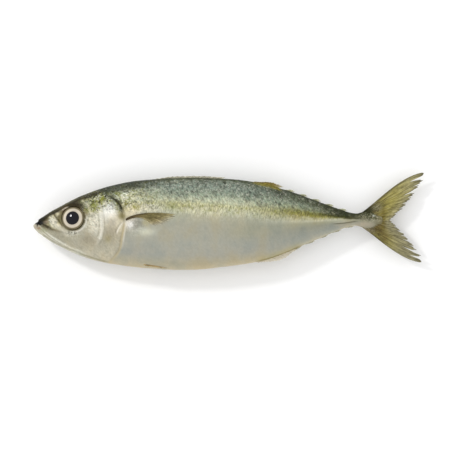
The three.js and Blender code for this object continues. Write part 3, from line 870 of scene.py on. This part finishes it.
def fin_sheet(name, across, along):
    """A flat sheet with its shares across the rays and along them, each from 0 to 1."""
    piece = start_piece(
        name, bpy.ops.mesh.primitive_grid_add, x_subdivisions=across, y_subdivisions=along, size=2
    )
    flat = places(piece)
    return piece, (flat[:, 0] + 1) / 2, (flat[:, 1] + 1) / 2


def ripple(value):
    """A wave that is 1 at whole numbers and 0 halfway between them."""
    return 0.5 + 0.5 * np.cos(2 * math.pi * value)


def ragged(place, seed):
    """A number from 0 to 1 for each whole part of a place."""
    mixed = np.sin(np.floor(place) * 12.9898 + seed * 78.233) * 43758.5453
    return mixed - np.floor(mixed)


# ---- Finishes ---------------------------------------------------------------------------------------


class Finish:
    """A procedural material that is put together one node at a time."""

    def __init__(self, name):
        self.material = bpy.data.materials.new(name)
        self.material.use_nodes = True
        self.tree = self.material.node_tree
        self.surface = self.tree.nodes["Principled BSDF"]
        self.place = self.tree.nodes.new("ShaderNodeTexCoord").outputs["Object"]

    def feed(self, socket, value):
        if isinstance(value, bpy.types.NodeSocket):
            self.tree.links.new(value, socket)
        elif socket.type == "RGBA":
            socket.default_value = (*value, 1)
        else:
            socket.default_value = value

    def attribute(self, name, output="Fac"):
        node = self.tree.nodes.new("ShaderNodeAttribute")
        node.attribute_name = name
        return node.outputs[output]

    def math(self, operation, a, b=0.0):
        node = self.tree.nodes.new("ShaderNodeMath")
        node.operation = operation
        self.feed(node.inputs[0], a)
        self.feed(node.inputs[1], b)
        return node.outputs[0]

    def times(self, a, b):
        return self.math("MULTIPLY", a, b)

    def plus(self, a, b):
        return self.math("ADD", a, b)

    def remap(self, value, low, high, to_low=0.0, to_high=1.0):
        node = self.tree.nodes.new("ShaderNodeMapRange")
        node.interpolation_type = "SMOOTHSTEP"
        numbers = (value, low, high, to_low, to_high)
        for name, number in zip(("Value", "From Min", "From Max", "To Min", "To Max"), numbers):
            self.feed(node.inputs[name], number)
        return node.outputs["Result"]

    def stretched(self, x=1.0, y=1.0, z=1.0, source=None, shift=0.0):
        node = self.tree.nodes.new("ShaderNodeMapping")
        self.feed(node.inputs["Vector"], source or self.place)
        node.inputs["Scale"].default_value = (x, y, z)
        node.inputs["Location"].default_value = (shift, shift, shift)
        return node.outputs["Vector"]

    def turned(self, angle):
        """The place turned about the upright axis."""
        node = self.tree.nodes.new("ShaderNodeMapping")
        self.feed(node.inputs["Vector"], self.place)
        node.inputs["Rotation"].default_value = (0, 0, angle)
        return node.outputs["Vector"]

    def noise(self, size, detail=2.0, roughness=0.5, distortion=0.0, vector=None):
        """Cloudy noise around 0.5, with features of that size in metres."""
        node = self.tree.nodes.new("ShaderNodeTexNoise")
        self.feed(node.inputs["Vector"], vector or self.place)
        node.inputs["Scale"].default_value = 1 / size
        node.inputs["Detail"].default_value = detail
        node.inputs["Roughness"].default_value = roughness
        node.inputs["Distortion"].default_value = distortion
        return node.outputs["Fac"]

    def cells(self, size, vector=None):
        """Cells of that size in metres: the distance from their middles and a random number for each."""
        node = self.tree.nodes.new("ShaderNodeTexVoronoi")
        self.feed(node.inputs["Vector"], vector or self.place)
        node.inputs["Scale"].default_value = 1 / size
        shade = self.tree.nodes.new("ShaderNodeSeparateColor")
        self.tree.links.new(node.outputs["Color"], shade.inputs["Color"])
        return node.outputs["Distance"], shade.outputs["Red"], shade.outputs["Green"]

    def ramp(self, value, stops):
        """A run of colours, given as [place, code] pairs."""
        node = self.tree.nodes.new("ShaderNodeValToRGB")
        self.feed(node.inputs["Fac"], value)
        elements = node.color_ramp.elements
        elements.remove(elements[0])
        elements[0].position = stops[0][0]
        elements[0].color = (*pigment(stops[0][1]), 1)
        for position, code in stops[1:]:
            elements.new(position).color = (*pigment(code), 1)
        return node.outputs["Color"]

    def mix(self, share, a, b, blend="MIX"):
        node = self.tree.nodes.new("ShaderNodeMix")
        node.data_type = "RGBA"
        node.blend_type = blend
        self.feed(node.inputs["Factor"], share)
        self.feed(node.inputs[6], a)
        self.feed(node.inputs[7], b)
        return node.outputs[2]

    def brighten(self, base, factor):
        """Multiplies a colour by a number, which may be above 1."""
        node = self.tree.nodes.new("ShaderNodeVectorMath")
        node.operation = "SCALE"
        self.feed(node.inputs[0], base)
        self.feed(node.inputs["Scale"], factor)
        return node.outputs[0]

    def swing(self, value, strength):
        """A value around 0.5 as a swing around 0 of that strength."""
        return self.times(self.math("SUBTRACT", value, 0.5), strength)

    def bump(self, height, distance, strength=1.0, under=None):
        node = self.tree.nodes.new("ShaderNodeBump")
        node.inputs["Distance"].default_value = distance
        node.inputs["Strength"].default_value = strength
        self.feed(node.inputs["Height"], height)
        if under is not None:
            self.tree.links.new(under, node.inputs["Normal"])
        return node.outputs["Normal"]

    def result(self, **sockets):
        for name, value in sockets.items():
            title = name.replace("_", " ").title().replace("Ior", "IOR")
            self.feed(self.surface.inputs[title], value)
        return self.material


def skin_finish(settings):
    """Wet skin: the painted colours, with the scales' glitter, the stripe's hatching and the flecks."""
    f = Finish("fish_skin")
    mottle = f.attribute("mottle")
    base = f.attribute("paint", "Color")

    # Each scale of the back catches the light in its own way, and slanting clouds of them are darker.
    slant = f.turned(-0.6)
    edge, shade, tint = f.cells(settings.scale_size, f.stretched(1.25, 0.8, 1, source=slant))
    weave = f.noise(0.0016, 2.0, 0.6, vector=f.stretched(1.6, 0.8, 1, source=slant))
    clouds = f.noise(0.0042, 3.0, 0.6, 0.4, vector=f.stretched(1.3, 0.6, 1, source=slant))
    patches = f.noise(0.015, 2.0, 0.5, vector=f.stretched(shift=3))
    light = f.plus(f.swing(shade, 0.4), f.swing(clouds, 1.15))
    light = f.plus(light, f.plus(f.swing(patches, 0.6), f.swing(weave, 2.2)))
    base = f.brighten(base, f.plus(f.times(light, mottle), 1.0))
    bluish = f.times(f.remap(tint, 0.3, 0.9), f.times(mottle, 0.8))
    base = f.mix(bluish, base, f.mix(1.0, base, (0.91, 1.02, 1.05), "MULTIPLY"))

    # Short upright strokes over the stripe.
    upright = f.noise(0.0016, 3.0, 0.65, vector=f.stretched(2.2, 0.75, 1, source=f.turned(0.2)))
    base = f.brighten(base, f.plus(f.times(f.swing(upright, 3.0), f.attribute("hatch")), 1.0))

    flecks = (
        ("dark", 11, 0.0026, "#33321f", 0.49, 0.57),
        ("gold", 23, 0.0042, "#888a3c", 0.49, 0.62),
        ("pale", 37, 0.0021, "#dcdccb", 0.51, 0.63),
        ("salt", 53, 0.0013, "#bab596", 0.5, 0.6),
    )
    for name, shift, size, code, low, high in flecks:
        place = f.stretched(shift=shift)
        coarse = f.noise(size, 2.0, 0.6, 0.1, place)
        fine = f.noise(size / 2.8, 2.0, 0.6, 0.1, place)
        pattern = f.times(f.plus(coarse, fine), 0.5)
        share = f.times(f.remap(pattern, low, high), f.attribute(name))
        base = f.mix(share, base, pigment(code))

    # The plain flank has only faint cool and warm patches.
    streaks = f.noise(0.013, 3.0, 0.5, vector=f.stretched(1.1, 0.8, 0.8))
    calm = f.math("POWER", f.math("SUBTRACT", 1.0, mottle), 2.0)
    warm = f.mix(1.0, base, (1.03, 0.98, 0.89), "MULTIPLY")
    cool = f.mix(1.0, base, (0.86, 0.91, 0.96), "MULTIPLY")
    base = f.mix(f.times(f.remap(streaks, 0.34, 0.5, 1.0, 0.0), calm), base, cool)
    base = f.mix(f.times(f.remap(streaks, 0.48, 0.64), calm), base, warm)

    normal = f.bump(f.times(edge, f.remap(mottle, 0.1, 0.8, 0.2, 1.0)), 0.0003, 0.35)
    normal = f.bump(f.noise(0.004, 3.0, 0.55), 0.0008, 0.2, under=normal)
    return f.result(
        base_color=base,
        roughness=f.plus(f.remap(mottle, 0.0, 1.0, 0.42, 0.55), f.swing(shade, 0.1)),
        normal=normal,
        specular_ior_level=0.05,
        coat_weight=settings.wetness,
        coat_roughness=0.24,
    )


def fin_finish(name, rays, strength=1.0):
    """Fin skin: the painted colours, streaked along the rays by the piece's own map."""
    f = Finish(name)
    uv = f.tree.nodes.new("ShaderNodeUVMap").outputs["UV"]
    streak = f.noise(1.0, 3.0, 0.6, vector=f.stretched(rays * 2.2, 3.2, 1, source=uv))
    fine = f.noise(1.0, 2.0, 0.6, vector=f.stretched(rays * 6, 4, 1, source=uv, shift=5))
    grain = f.noise(0.0018, 3.0, 0.65)
    light = f.plus(f.swing(streak, 2.6), f.plus(f.swing(fine, 2.6), f.swing(grain, 1.4)))
    base = f.brighten(f.attribute("paint", "Color"), f.plus(f.times(light, strength), 1.0))
    fleck = f.attribute("dark")
    brown = f.times(f.remap(streak, 0.3, 0.47, 1.0, 0.0), 0.45 * strength)
    base = f.mix(brown, base, pigment("#5b4c28"))
    base = f.mix(f.times(f.remap(grain, 0.5, 0.62), fleck), base, pigment("#453c22"))
    base = f.mix(f.times(f.remap(fine, 0.55, 0.7), f.attribute("pale")), base, pigment("#c9c19c"))
    return f.result(
        base_color=base,
        roughness=0.55,
        normal=f.bump(fine, 0.0003, 0.4),
        specular_ior_level=0.15,
        coat_weight=0.08,
        coat_roughness=0.3,
    )


def eye_finish(settings):
    """A wet eye: a black pupil, a cream ring with faint streaks, and a dark rim."""
    f = Finish("fish_eye")
    away = f.attribute("away")
    pupil = settings.pupil_radius / settings.eye_radius
    wander = f.swing(f.noise(0.0012, 3.0, 0.6), 0.025)
    stops = [
        [0.0, "#222228"], [pupil - 0.03, "#262528"], [pupil, "#47423a"], [pupil + 0.035, "#d8cfbd"],
        [pupil + 0.09, "#c8beab"], [0.74, "#d9d0be"], [0.84, "#cdc3ae"], [0.885, "#a2977c"],
        [0.92, "#5b5340"], [0.96, "#7b7156"], [1.0, "#857b60"],
    ]
    base = f.ramp(f.plus(away, wander), stops)
    base = f.brighten(base, f.plus(f.swing(f.noise(0.005, 3.0, 0.6), 0.7), 1.0))
    return f.result(
        base_color=base,
        roughness=0.5,
        specular_ior_level=0.0,
        coat_weight=1.0,
        coat_roughness=0.03,
        coat_ior=1.25,
    )


# ---- Settings ---------------------------------------------------------------------------------------


class MackerelSizes(bpy.types.PropertyGroup):
    """Sizes of the details of the fish. Its main dimensions come from the frame."""

    eye_radius: bpy.props.FloatProperty(
        name="Eye radius", description="From the middle of the eye to the rim of the iris",
        default=0.0069, min=0.005, max=0.0075, unit="LENGTH", precision=4,
    )
    pupil_radius: bpy.props.FloatProperty(
        name="Pupil radius", description="From the middle of the eye to the edge of the pupil",
        default=0.0041, min=0.002, max=0.005, unit="LENGTH", precision=4,
    )
    gill_lift: bpy.props.FloatProperty(
        name="Gill cover lift", description="How far the edge of the gill cover stands off the shoulder",
        default=0.0009, min=0.0, max=0.0015, unit="LENGTH", precision=4,
    )
    scale_size: bpy.props.FloatProperty(
        name="Scale size", description="The length of one of the small scales of the back",
        default=0.00095, min=0.0004, max=0.003, unit="LENGTH", precision=5,
    )
    fin_thickness: bpy.props.FloatProperty(
        name="Fin thickness", description="Through a ray at the root of the tail fin",
        default=0.0018, min=0.0004, max=0.003, unit="LENGTH", precision=4,
    )
    wetness: bpy.props.FloatProperty(
        name="Wetness", description="The strength of the wet film over the skin",
        default=0.14, min=0.0, max=1.0, subtype="FACTOR",
    )


class MackerelStage(bpy.types.PropertyGroup):
    """The floor, the lights and the camera round the fish."""

    floor_colour: bpy.props.FloatVectorProperty(
        name="Floor colour", description="The plain pale floor", subtype="COLOR",
        default=(0.94, 0.94, 0.94), min=0, max=1,
    )
    picture_width: bpy.props.FloatProperty(
        name="Picture width", description="The width that the camera sees at the middle of the fish",
        default=0.27675, min=0.1, max=1.0, unit="LENGTH",
    )
    camera_height: bpy.props.FloatProperty(
        name="Camera height", description="From the middle of the fish up to the camera",
        default=3.0, min=0.5, max=5.0, unit="LENGTH",
    )
    key_power: bpy.props.FloatProperty(
        name="Key light", description="Power of the soft light up beside the head, in watts",
        default=3.0, min=0, max=200,
    )
    fill: bpy.props.FloatProperty(
        name="Fill light", description="Brightness of the white studio all round",
        default=1.03, min=0, max=3,
    )


# ---- The pieces -------------------------------------------------------------------------------------

BODY_ROUND = 220
BODY_RINGS = 446
HEAD_END = 62.0
HEAD_SHARE = 0.4  # of the rings, which are closer together on the head
BODY_END = 215.0


class MACKEREL_OT_body(bpy.types.Operator):
    """Models and paints the skin of the head and the trunk, with the jaws, gill covers and eye sockets"""

    bl_idname = "mackerel.body"
    bl_label = "Body"

    def execute(self, context):
        sizes = context.scene.mackerel_sizes
        piece, ball = start_ball("body", BODY_ROUND, BODY_RINGS)
        share = np.arccos(np.clip(-ball[:, 2], -1, 1)) / math.pi
        angle = np.arctan2(ball[:, 1], ball[:, 0])
        station = np.interp(share, [0, HEAD_SHARE, 1], [0, HEAD_END, BODY_END])
        bare = skin(station, angle)
        paint, view = paint_skin(station, bare[:, 1] - LEVEL_Y, bare)
        soft = 0.2 * uneven(bare, 14.0, 1) + 0.06 * uneven(bare, 5.0, 2)
        soft *= span(station, 8, 30, 185, 205)
        ends = ease(np.minimum(station, BODY_END - station), 0.0, 1.5)
        points = skin(station, angle, (relief(view, sizes) + soft) * ends)
        for at_pole, out in ((share < 1e-6, -0.2), (share > 1 - 1e-6, 0.2)):
            points[at_pole, 0] += out
            points[at_pole, 1] = widest_level_at(station[at_pole]) + LEVEL_Y
            points[at_pole, 2] = middle(station[at_pole])
        points[:, 2] = np.maximum(points[:, 2], 0.0)
        move_to(piece, points)
        paint.keep(piece)
        finish_piece(piece, skin_finish(sizes), "fish")
        return {"FINISHED"}


EYE_ROUND = 96
EYE_RINGS = 80
LENS_RISE = 0.07
IRIS_DIP = 0.08


class MACKEREL_OT_eyes(bpy.types.Operator):
    """Models the two eyeballs, each a low dome with a raised lens over its pupil"""

    bl_idname = "mackerel.eyes"
    bl_label = "Eyes"

    def execute(self, context):
        sizes = context.scene.mackerel_sizes
        finish = eye_finish(sizes)
        radius = sizes.eye_radius / MM
        pupil = sizes.pupil_radius / MM
        for name, side in (("eye_left", 1), ("eye_right", -1)):
            piece, ball = start_ball(name + "_ball", EYE_ROUND, EYE_RINGS)
            away = np.hypot(ball[:, 0], ball[:, 1])
            front = ball[:, 2] > 0
            dome = EYE_DOME * (1 - away**2) + LENS_RISE * bell(away * radius, pupil)
            dome -= IRIS_DIP * bell(away * radius - pupil - 0.9, 0.8)
            height = np.where(front, dome, EYE_BACK * ball[:, 2])
            centre, gaze = eye_seat(side)
            right = gaze.orthogonal().normalized()
            up = gaze.cross(right)
            flat = np.stack([ball[:, 0] * radius, ball[:, 1] * radius, height], -1)
            move_to(piece, flat @ np.array([right, up, gaze]) + np.array(centre))
            attribute(piece, "away", np.where(front, away, 1.0))
            finish_piece(piece, finish, name)
        return {"FINISHED"}


TAIL_COLUMNS = 460
TAIL_ROWS = 84
TAIL_WAVE = 0.5
TAIL_COLOURS = [
    [0, "#6b6849"], [0.22, "#7b7247"], [0.34, "#887f47"],
    [0.6, "#9e9556"], [0.85, "#a39c6e"], [1, "#918c69"],
]


def tail_points(across, along):
    """Places of the tail fin's middle sheet, the share of its full thickness and its paint."""
    webs = len(TAIL_UPPER_SPLITS)
    upper = across < 0.5
    share = np.where(upper, across, 1 - across) * 2
    ray = np.maximum(share * (webs + 0.4) - 0.4, 0)
    whole = np.clip(np.floor(ray).astype(int), 0, webs - 1)
    splits = np.where(upper, np.array(TAIL_UPPER_SPLITS)[whole], np.array(TAIL_LOWER_SPLITS)[whole])
    slit = bell(ray - whole - 0.5, 0.13 + 0.5 * splits)
    strand = ray * 3 + 0.5
    fringe = 0.04 * (1 - ripple(ray * 3)) + 0.05 * ragged(strand, np.where(upper, 1, 2))
    point = 0.05 * (ray + 0.5 - np.floor(ray + 0.5)) ** 1.5
    blunt = 0.03 * bell(share, 0.008) - 0.02
    reach = 1.0 - blunt - splits * slit - point + (0.075 - fringe) * ease(share, 0.08, 0.16)
    t = along * reach
    inner = ease(share, 0, 0.3)[:, None]
    upper_ray = lerp(bezier(TAIL_UPPER_EDGE, t), bezier(TAIL_UPPER_RAY, t), inner)
    lower_ray = lerp(bezier(TAIL_LOWER_EDGE, t), bezier(TAIL_LOWER_RAY, t), inner)
    outer = np.where(upper[:, None], upper_ray, lower_ray)
    place = lerp(outer, bezier(TAIL_MIDDLE_RAY, t), share[:, None])
    sag = 4 * share * (1 - share) * t * t
    place[:, 0] += 1.2 * sag
    place[:, 1] += np.where(upper, -1.6, 1.3) * sag
    ridge = lerp(ripple(ray), 0.3 + 0.7 * ripple(ray * 3), ease(t, 0.3, 0.75))
    edge = fall(share, 0.03, 0.1)
    thick = lerp(1.0, 0.26, ease(t, 0, 0.9)) * (0.45 + 0.55 * np.maximum(ridge, edge))

    paint = Paint(ramp(t, TAIL_COLOURS))
    paint.lay("#5a563c", 0.8 * fall(share, 0.02, 0.09) * (1 - 0.4 * t))
    paint.lay("#655632", 0.7 * bell(share - 0.9, 0.35) * bell(t - 0.5, 0.3))
    paint.lay("#6a5a36", 0.7 * ~upper * bell(t - 0.38, 0.18) * ease(share, 0.1, 0.4))
    paint.lay("#8e896c", 0.7 * ~upper * ease(t, 0.45, 0.8))
    paint.lay("#a79e52", 0.5 * upper * bell(t - 0.6, 0.22) * ease(share, 0.1, 0.3))
    paint.lay("#6a6548", 0.5 * ease(t, 0.92, 1.0))
    root = fall(t, 0.2, 0.36) * fall(share, 0.3, 0.7)
    paint.lay("#383b28", 0.92 * upper * root)
    paint.lay("#9a9177", 0.6 * ~upper * root)
    band = bell(place[:, 0] - 215.2, 1.7) * fall(np.abs(place[:, 1] - 2.4), 5, 10)
    paint.lay("#6b5e22", 0.75 * band)
    silver = bell(place[:, 0] - 211.6, 3.0) * bell(place[:, 1] - 8.4, 2.6)
    paint.lay("#918f78", 0.6 * silver)
    paint.lay("#66532b", 0.6 * bell(place[:, 0] - 216.2, 2.4) * bell(place[:, 1] + 10.8, 2.2))
    paint.fleck("pale", 0.9 * silver)
    paint.fleck("dark", 0.8 * bell(t - 0.32, 0.16))
    paint.fleck("pale", 0.5 * span(t, 0.35, 0.6, 0.85, 1.0))
    return place, thick, paint


class MACKEREL_OT_tail(bpy.types.Operator):
    """Models the forked tail fin with its branching rays and its ragged edge"""

    bl_idname = "mackerel.tail"
    bl_label = "Tail fin"

    def execute(self, context):
        sizes = context.scene.mackerel_sizes
        piece, across, along = fin_sheet("tail_fin", TAIL_COLUMNS, TAIL_ROWS)
        place, thick, paint = tail_points(across, along)
        wave = TAIL_WAVE * np.sin(across * 21 + 1.0) * along**2
        move_to(piece, in_middle(*place.T, wave))
        paint.keep(piece)
        thicken(piece, sizes.fin_thickness, thick)
        finish_piece(piece, fin_finish("tail_fin_skin", 16, 0.8), "fish")
        return {"FINISHED"}


# Low fins in the middle plane, with their roots sunk in the body: how far they sweep back and stand out.
LOW_FINS = [
    {
        "name": "back_fin_first", "side": 1, "root": (71, 113), "sweep": 5, "height": 1.2, "rays": 14,
        "rise": 0.25, "colours": [[0, "#67694f"], [0.35, "#a19f87"], [1, "#c4c1ad"]],
    },
    {
        "name": "back_fin_second", "side": 1, "root": (131, 148), "sweep": 6, "height": 2.3, "rays": 12,
        "colours": [[0, "#857a35"], [0.4, "#988b44"], [0.8, "#7f6f38"], [1, "#a3966e"]],
    },
    {
        "name": "belly_fin", "side": -1, "root": (134, 158), "sweep": 4.5, "height": 3.3, "rays": 14,
        "taper": 0.7, "colours": [[0, "#d6cbae"], [0.6, "#e3dac4"], [1, "#ebe4d3"]],
    },
]
# How strongly the rays streak the colour, on the back and on the belly.
LOW_FIN_STREAKS = {1: 0.8, -1: 0.3}
FIN_SUNK = 1.2
FINLET_FROM = {1: 151, -1: 155.2}
FINLET_PITCH = 8.1
FINLET_ROOT = 5.0
FINLET_HEIGHT = {1: 1.3, -1: 0.65}
FINLET_SWEEP = 5
FINLET_RAYS = 4
FINLET_HALF = 0.4
FINLETS = 5


def low_fin(name, side, root, sweep, height, rays, colours, half=0.6, taper=0.3, rise=0.6):
    """A low fin on the back or the belly, with its rays folded towards the tail."""
    piece, across, along = fin_sheet(name, 16 * rays, 14)
    crest = height * (0.2 + 0.8 * ease(across, 0, rise)) * (1 - taper * ease(across, 0.6, 1))
    place = across * (rays - 1)
    t = along * (1.03 - 0.07 * (1 - ripple(place)) - 0.08 * ragged(place + 0.5, 3) * ease(along, 0.5, 1))
    station = lerp(*root, across) + sweep * t
    line = back_at(station) if side > 0 else belly_at(station)
    level = line + side * lerp(-FIN_SUNK, crest, t)
    wave = 0.25 * np.sin(across * 9 + root[0]) * t**2
    move_to(piece, in_middle(station, level, wave))
    paint = Paint(ramp(t, colours))
    paint.lay("#d9d1b6", 0.7 * ease(across, 0.7, 1) * ease(t, 0.3, 0.9))
    paint.keep(piece)
    thicken(piece, 2 * half * MM, lerp(1.0, 0.3, t) * (0.55 + 0.45 * ripple(place)))
    return piece


class MACKEREL_OT_low_fins(bpy.types.Operator):
    """Models the two fins of the back and the one behind the vent"""

    bl_idname = "mackerel.low_fins"
    bl_label = "Back and belly fins"

    def execute(self, context):
        for fin in LOW_FINS:
            piece = low_fin(**fin)
            finish = fin_finish(fin["name"] + "_skin", fin["rays"], LOW_FIN_STREAKS[fin["side"]])
            finish_piece(piece, finish, "fish")
        return {"FINISHED"}


class MACKEREL_OT_finlets(bpy.types.Operator):
    """Models the row of five finlets on the back and the row on the belly"""

    bl_idname = "mackerel.finlets"
    bl_label = "Finlets"

    def execute(self, context):
        finish = fin_finish("finlet_skin", 3, 0.5)
        above = [[0, "#4a4e38"], [0.35, "#8f916c"], [0.7, "#b2b392"], [1, "#cfd0b8"]]
        below = [[0, "#b3b097"], [0.6, "#a9a78c"], [1, "#bebca4"]]
        for side, word, colours in ((1, "back", above), (-1, "belly", below)):
            for i in range(FINLETS):
                first = FINLET_FROM[side] + i * FINLET_PITCH
                root = (first, first + FINLET_ROOT)
                name = f"{word}_finlet_{i + 1}"
                height = FINLET_HEIGHT[side]
                piece = low_fin(name, side, root, FINLET_SWEEP, height, FINLET_RAYS, colours, FINLET_HALF)
                finish_piece(piece, finish, "fish")
        return {"FINISHED"}


def flank_fin(name, side, first, last, lift, swell, rays, slits, columns, rows):
    """A fin laid on a flank, with its shares across and along, its thickness and the colours under it."""
    piece, across, along = fin_sheet(name, columns, rows)
    place = across * (rays - 1)
    t = along * (1 - slits * (1 - ripple(place)) - 0.5 * slits * ragged(place + 0.5, 5))
    where = lerp(bezier(first, t), bezier(last, t), across[:, None])
    where[:, 1] -= swell * 4 * across * (1 - across) * t**2
    sizes = bpy.context.scene.mackerel_sizes
    angle = angle_at(where[:, 0], where[:, 1], side)
    below, view = paint_skin(where[:, 0], where[:, 1], skin(where[:, 0], angle))
    low = np.maximum(ease(t, 0.55, 0.95), ease(across, 0.7, 1.0))
    rise = lerp(lerp(-0.3, lift, ease(t, 0, 0.12)) + 0.1 * (ripple(place) - 0.5), 0.1, low)
    rise = lerp(rise, -0.12, np.maximum(ease(along, 0.92, 1.0), ease(across, 0.94, 1.0)))
    points = skin(where[:, 0], angle, relief(view, sizes) + rise)
    points[:, 2] = np.maximum(points[:, 2], 0.3)
    move_to(piece, points)
    return piece, across, t, lerp(1.0, 0.3, low) * (0.5 + 0.5 * ripple(place)), below.colours


class MACKEREL_OT_pectorals(bpy.types.Operator):
    """Models the two fins behind the gill covers, folded back on the flanks"""

    bl_idname = "mackerel.pectorals"
    bl_label = "Pectoral fins"

    def execute(self, context):
        finish = fin_finish("pectoral_fin_skin", 14)
        colours = [[0, "#43361f"], [0.25, "#5f5235"], [0.6, "#7a7148"], [0.85, "#8a8058"], [1, "#9c9472"]]
        for name, side in (("left", 1), ("right", -1)):
            piece, across, t, thick, below = flank_fin(f"pectoral_fin_{name}", side, **PECTORAL_FIN)
            paint = Paint(ramp(t, colours))
            # Dark along the first ray near the root: its own colour and painted shadow under its raised
            # edge.
            paint.lay("#453a25", 0.9 * fall(across, 0.04, 0.22) * fall(t, 0.3, 0.66))
            paint.lay("#b3a981", 0.85 * ease(across, 0.6, 0.9) * ease(t, 0.3, 0.5))
            paint.lay("#b7a98a", 0.5 * ease(t, 0.7, 0.95) * ease(across, 0.1, 0.5))
            clear = np.maximum(ease(t, 0.82, 1.0), ease(across, 0.88, 1.0))
            paint.colours = lerp(paint.colours, below, (0.85 * clear * ease(across, 0.02, 0.2))[:, None])
            paint.keep(piece)
            thicken(piece, PECTORAL_THICKNESS * MM, thick)
            finish_piece(piece, finish, "fish")
        return {"FINISHED"}


class MACKEREL_OT_pelvics(bpy.types.Operator):
    """Models the pair of fins folded against the belly"""

    bl_idname = "mackerel.pelvics"
    bl_label = "Pelvic fins"

    def execute(self, context):
        finish = fin_finish("pelvic_fin_skin", 6)
        colours = [[0, "#b9aa83"], [0.6, "#c0b391"], [1, "#cabfa3"]]
        for name, side in (("left", 1), ("right", -1)):
            piece, across, t, thick, below = flank_fin(f"pelvic_fin_{name}", side, **PELVIC_FIN)
            paint = Paint(ramp(t, colours))
            paint.lay("#b0915c", 0.8 * fall(across, 0.1, 0.4))
            paint.colours = lerp(paint.colours, below, (0.6 * ease(t, 0.7, 1.0))[:, None])
            paint.keep(piece)
            thicken(piece, PELVIC_THICKNESS * MM, thick)
            finish_piece(piece, finish, "fish")
        return {"FINISHED"}


# ---- The stage --------------------------------------------------------------------------------------

AIM = [117.8, -2.5]  # the place on the fish that the camera looks down at
FLOOR_SIZE = 6
# The soft light, in metres of the frame.
KEY_PLACE = Vector((-0.65, 0.49, 0.7))
KEY_TARGET = Vector((-0.02, 0, 0.01))
KEY_SIZE = 0.13


class MACKEREL_OT_stage(bpy.types.Operator):
    """Sets the pale floor, the soft lights and the camera that looks straight down"""

    bl_idname = "mackerel.stage"
    bl_label = "Stage"

    def execute(self, context):
        stage = context.scene.mackerel_stage
        floor = start_piece("floor", bpy.ops.mesh.primitive_plane_add, size=FLOOR_SIZE)
        f = Finish("floor_paint")
        paint = f.result(base_color=tuple(stage.floor_colour), roughness=0.9, specular_ior_level=0.1)
        floor.data.materials.append(paint)

        world = bpy.data.worlds.new("studio")
        world.use_nodes = True
        background = world.node_tree.nodes["Background"]
        background.inputs["Color"].default_value = (1, 1, 1, 1)
        background.inputs["Strength"].default_value = stage.fill
        context.scene.world = world

        bpy.ops.object.light_add(type="AREA", location=KEY_PLACE)
        lamp = bpy.context.object
        lamp.name = "key_light"
        lamp.data.shape = "DISK"
        lamp.data.size = KEY_SIZE
        lamp.data.energy = stage.key_power
        lamp.rotation_euler = (KEY_TARGET - KEY_PLACE).to_track_quat("-Z", "Y").to_euler()

        aim = Vector((AIM[0] + JAW_X, AIM[1] + LEVEL_Y, REST_HEIGHT)) * MM
        bpy.ops.object.camera_add(location=aim + Vector((0, 0, stage.camera_height)), rotation=(0, 0, 0))
        camera = bpy.context.object
        camera.name = "camera"
        camera.data.sensor_width = 36
        camera.data.lens = camera.data.sensor_width * stage.camera_height / stage.picture_width
        camera.data.clip_end = 20
        context.scene.camera = camera
        context.scene.view_settings.view_transform = "Standard"
        return {"FINISHED"}


class MACKEREL_PT_sidebar(bpy.types.Panel):
    """Lists the pieces of the fish and their settings"""

    bl_idname = "MACKEREL_PT_sidebar"
    bl_label = "Raw Mackerel"
    bl_space_type = "VIEW_3D"
    bl_region_type = "UI"
    bl_category = "Mackerel"

    def draw(self, context):
        for settings in (context.scene.mackerel_sizes, context.scene.mackerel_stage):
            box = self.layout.box()
            for name in settings.bl_rna.properties.keys():
                if name not in ("name", "rna_type"):
                    box.prop(settings, name)
        for operator in OPERATORS:
            self.layout.operator(operator.bl_idname)


OPERATORS = (
    MACKEREL_OT_body,
    MACKEREL_OT_eyes,
    MACKEREL_OT_tail,
    MACKEREL_OT_low_fins,
    MACKEREL_OT_finlets,
    MACKEREL_OT_pectorals,
    MACKEREL_OT_pelvics,
    MACKEREL_OT_stage,
)
CLASSES = (MackerelSizes, MackerelStage, *OPERATORS, MACKEREL_PT_sidebar)


def register():
    for cls in CLASSES:
        bpy.utils.register_class(cls)
    bpy.types.Scene.mackerel_sizes = bpy.props.PointerProperty(type=MackerelSizes)
    bpy.types.Scene.mackerel_stage = bpy.props.PointerProperty(type=MackerelStage)


def unregister():
    del bpy.types.Scene.mackerel_stage
    del bpy.types.Scene.mackerel_sizes
    for cls in reversed(CLASSES):
        bpy.utils.unregister_class(cls)


def main():
    register()
    bpy.ops.mackerel.stage()
    bpy.ops.mackerel.body()
    bpy.ops.mackerel.eyes()
    bpy.ops.mackerel.tail()
    bpy.ops.mackerel.low_fins()
    bpy.ops.mackerel.finlets()
    bpy.ops.mackerel.pectorals()
    bpy.ops.mackerel.pelvics()


if __name__ == "__main__":
    main()
